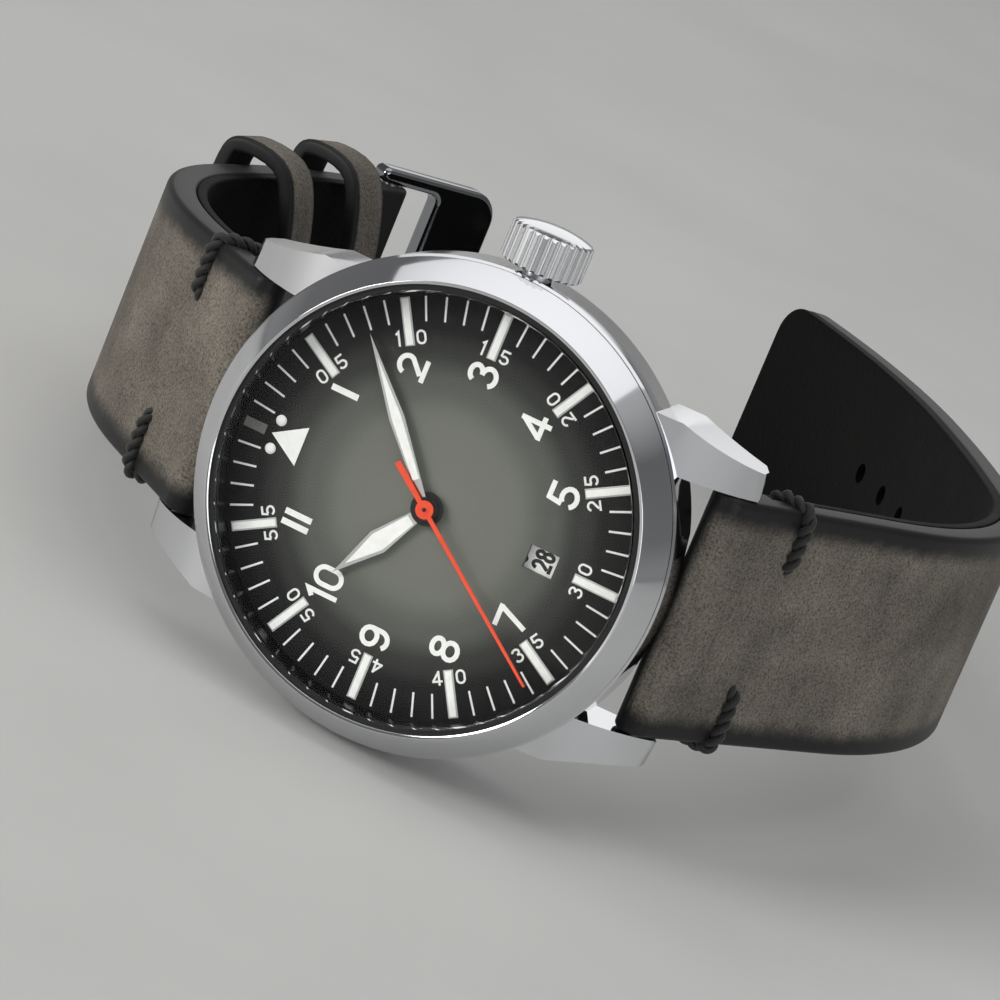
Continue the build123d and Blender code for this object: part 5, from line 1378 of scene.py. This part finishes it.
# %% Cords
def cord_lines(name, strap, where, slant):
    """The middle lines of the two cords of a strap, as one curve object."""
    curve = bpy.data.curves.new(name, "CURVE")
    curve.dimensions = "3D"
    half = half_width(strap, where)
    outer, inner = strap["outer"], strap["inner"]
    # Places across, out of the middle line, and the share of the slant: hole, outer face, edge, inner face
    rows = [(5.3, outer - 0.9, 0.0), (5.35, outer - 0.1, 0.0), (5.8, outer + 0.26, 0.0),
            (7.5, outer + 0.32, 0.0), (half - 0.5, outer + 0.32, 0.05), (half + 0.16, outer - 0.05, 0.2),
            (half + 0.30, outer - 0.8, 0.5), (half + 0.30, 0.2 - inner, 0.9),
            (half - 0.35, -inner + 0.1, 1.0)]
    for way in (-1, 1):
        spline = curve.splines.new("NURBS")
        spline.points.add(len(rows) - 1)
        for point, (across, out, share) in zip(spline.points, rows):
            point.co = on_strap(strap, where + slant * share, way * across, out).to_4d()
            point.co[3] = 1.0
        spline.order_u, spline.use_endpoint_u, spline.resolution_u = 3, True, 8
    return in_scene(name, curve)


cord_place, cord_slant = 7.6, -0.8
for name, strap in strap_rows.items():
    lines = cord_lines(name + "_cord_lines", strap, cord_place, cord_slant)
    cord = bake(lines, twist, {"Strand Radius": 0.32 * MM, "Twist Length": 2.2 * MM, "Step": 0.1 * MM,
                               "Thread": cord_linen}, name + "_strap_cord")
    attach(cord, name + "_strap_body")
    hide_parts(name + "_strap_stitches")
    print(name, "cord:", len(cord.data.polygons), "faces")

# %% [markdown]
# ## Middle of the hands
#
# The seconds hand's orange cap has a raised ring and a dark pin, and the pipes of the other two hands show
# below it as black rings. The pipes are polished, and their black is a painted reflection of the dark
# surroundings that they mirror. They are small lathe pieces that turn with their hands.


# %% Hub pieces
minute_top, hour_top, cap_top = reach("minute_hand")[1], reach("hour_hand")[1], reach("seconds_hand")[1]
# Name, radii inside and outside, the hand's top, how far the foot sinks in, both rims' rise, finish and body
hub_rows = (
    ("seconds_cap_ring", 0.22, 0.34, cap_top, 0.01, 0.05, 0.05, orange_lacquer, "seconds_body"),
    ("seconds_pin", 0.0, 0.15, cap_top, 0.01, 0.07, 0.08, pin_black_and_pipe_painted_reflection, "seconds_body"),
    # The two pipe rings' black is a painted reflection of the dark surroundings that polished pipes mirror
    ("minute_hub_ring", 0.5, 1.0, minute_top, 0.02, 0.04, 0.04, pin_black_and_pipe_painted_reflection, "minute_body"),
    ("hour_hub_ring", 0.9, 1.36, hour_top, 0.02, 0.04, 0.04, pin_black_and_pipe_painted_reflection, "hour_body"))
for name, inner, outer, top, sunk, outer_rise, inner_rise, finish, body in hub_rows:
    piece = spun(name, [(inner, top - sunk), (outer, top - sunk), (outer, top + outer_rise),
                        (inner, top + inner_rise)], finish, corner=0.02, steps=64)
    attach(piece, body)
print("hub pieces:", len(hub_rows))

# %% [markdown]
# ## Floor and studio light
#
# The watch lies on a plain pale floor. A small square lamp at the left gives the dial the shadows under its
# hands, a long one hangs overhead for the broad highlight on the bezel's upper slope, and a wide one opens the
# right side. Polished steel has no look of its own, only what it mirrors, so the world isn't even: its horizon
# has the floor's grey, a darker band above that gives a polished edge its contrast, and the top is bright.
# A bright patch behind the watch is seen only in reflections, where it draws a clear line on the steel.

# %% Floor
floor_finish, tree, where = new_material("pale_floor")
clouds = add(tree, "ShaderNodeTexNoise", {"Vector": where, "Scale": scale_for(40.0), "Detail": 3.0})
shade = add(tree, "ShaderNodeValToRGB", {"Fac": clouds}, [(0.3, colour("#cfcfcd")), (0.7, colour("#d6d6d4"))])
ground = add(tree, "ShaderNodeBsdfPrincipled", {"Base Color": shade, "Roughness": 0.7})
add(tree, "ShaderNodeOutputMaterial", {"Surface": ground})
mesh = bpy.data.meshes.new("floor")
reach_of_floor = 40
mesh.from_pydata([(across * reach_of_floor, along * reach_of_floor, cad_low.z)
                  for across, along in ((-1, -1), (1, -1), (1, 1), (-1, 1))], [], [(0, 1, 2, 3)])
mesh.materials.append(floor_finish)
floor = in_scene("floor", mesh)
print("floor:", 2 * reach_of_floor, "m wide, at the height", round(cad_low.z / MM, 2), "mm")


# %% Lamps
def soft_lamp(name, spot, aim, width, height, power, tone):
    """A rectangular soft lamp at a spot, in metres, that faces another."""
    light = bpy.data.lights.new(name, "AREA")
    light.shape, light.size, light.size_y = "RECTANGLE", width, height
    light.energy = power
    light.color = colour(tone)[:3]
    lamp = in_scene(name, light)
    lamp.location = spot
    lamp.visible_camera = False
    lamp.rotation_euler = (Vector(aim) - Vector(spot)).to_track_quat("-Z", "Y").to_euler()


middle = (0.0, 0.01, 0.0)
# Name, place, aim, width and height in metres, power in watts, and tone
soft_lamp("key_softbox", (-0.50, -0.44, 0.26), middle, 0.28, 0.28, 2.5, "#fffdfa")
soft_lamp("overhead_softbox", (-0.195, 0.03, 0.60), (-0.195, 0.03, 0.0), 1.11, 0.45, 1.08, "#ffffff")
soft_lamp("fill_softbox", (0.75, -0.65, 0.20), middle, 0.9, 0.5, 2.6, "#fafcff")
print("lamps:", [light.name for light in bpy.data.lights])

# %% World
world = bpy.data.worlds.new("studio")
scene.world = world
world.use_nodes = True
tree = world.node_tree
tree.nodes.clear()
sky = add(tree, "ShaderNodeTexCoord").outputs["Generated"]
parts = add(tree, "ShaderNodeSeparateXYZ", {0: sky})
height = add(tree, "ShaderNodeMapRange", {"Value": parts.outputs["Z"], "From Min": -1.0, "From Max": 1.0})
glow = add(tree, "ShaderNodeValToRGB", {"Fac": height}, [
    (0.0, grey(0.26)), (0.502, grey(0.26)), (0.53, grey(0.25)), (0.60, grey(0.17)), (0.80, grey(0.15)),
    (0.90, grey(0.45)), (1.0, grey(0.6))])
behind = Vector((-0.22, 0.92, 0.31)).normalized()
patch_outer, patch_inner, patch_tone = 17, 11, 1.1
near = add(tree, "ShaderNodeVectorMath", {0: sky, 1: tuple(behind)}, operation="DOT_PRODUCT")
patch = add(tree, "ShaderNodeMapRange", {
    "Value": near.outputs["Value"], "From Min": cos(radians(patch_outer)),
    "From Max": cos(radians(patch_inner))})
mirrored = add(tree, "ShaderNodeMix", {0: patch, 6: glow, 7: grey(patch_tone)}, data_type="RGBA")
rays = add(tree, "ShaderNodeLightPath")
seen = add(tree, "ShaderNodeMix", {0: rays.outputs["Is Camera Ray"], 6: mirrored.outputs[2], 7: glow},
           data_type="RGBA")
studio_light = add(tree, "ShaderNodeBackground", {"Color": seen.outputs[2], "Strength": 1.0})
add(tree, "ShaderNodeOutputWorld", {"Surface": studio_light})
print("the patch is", 2 * patch_outer, "degrees wide")
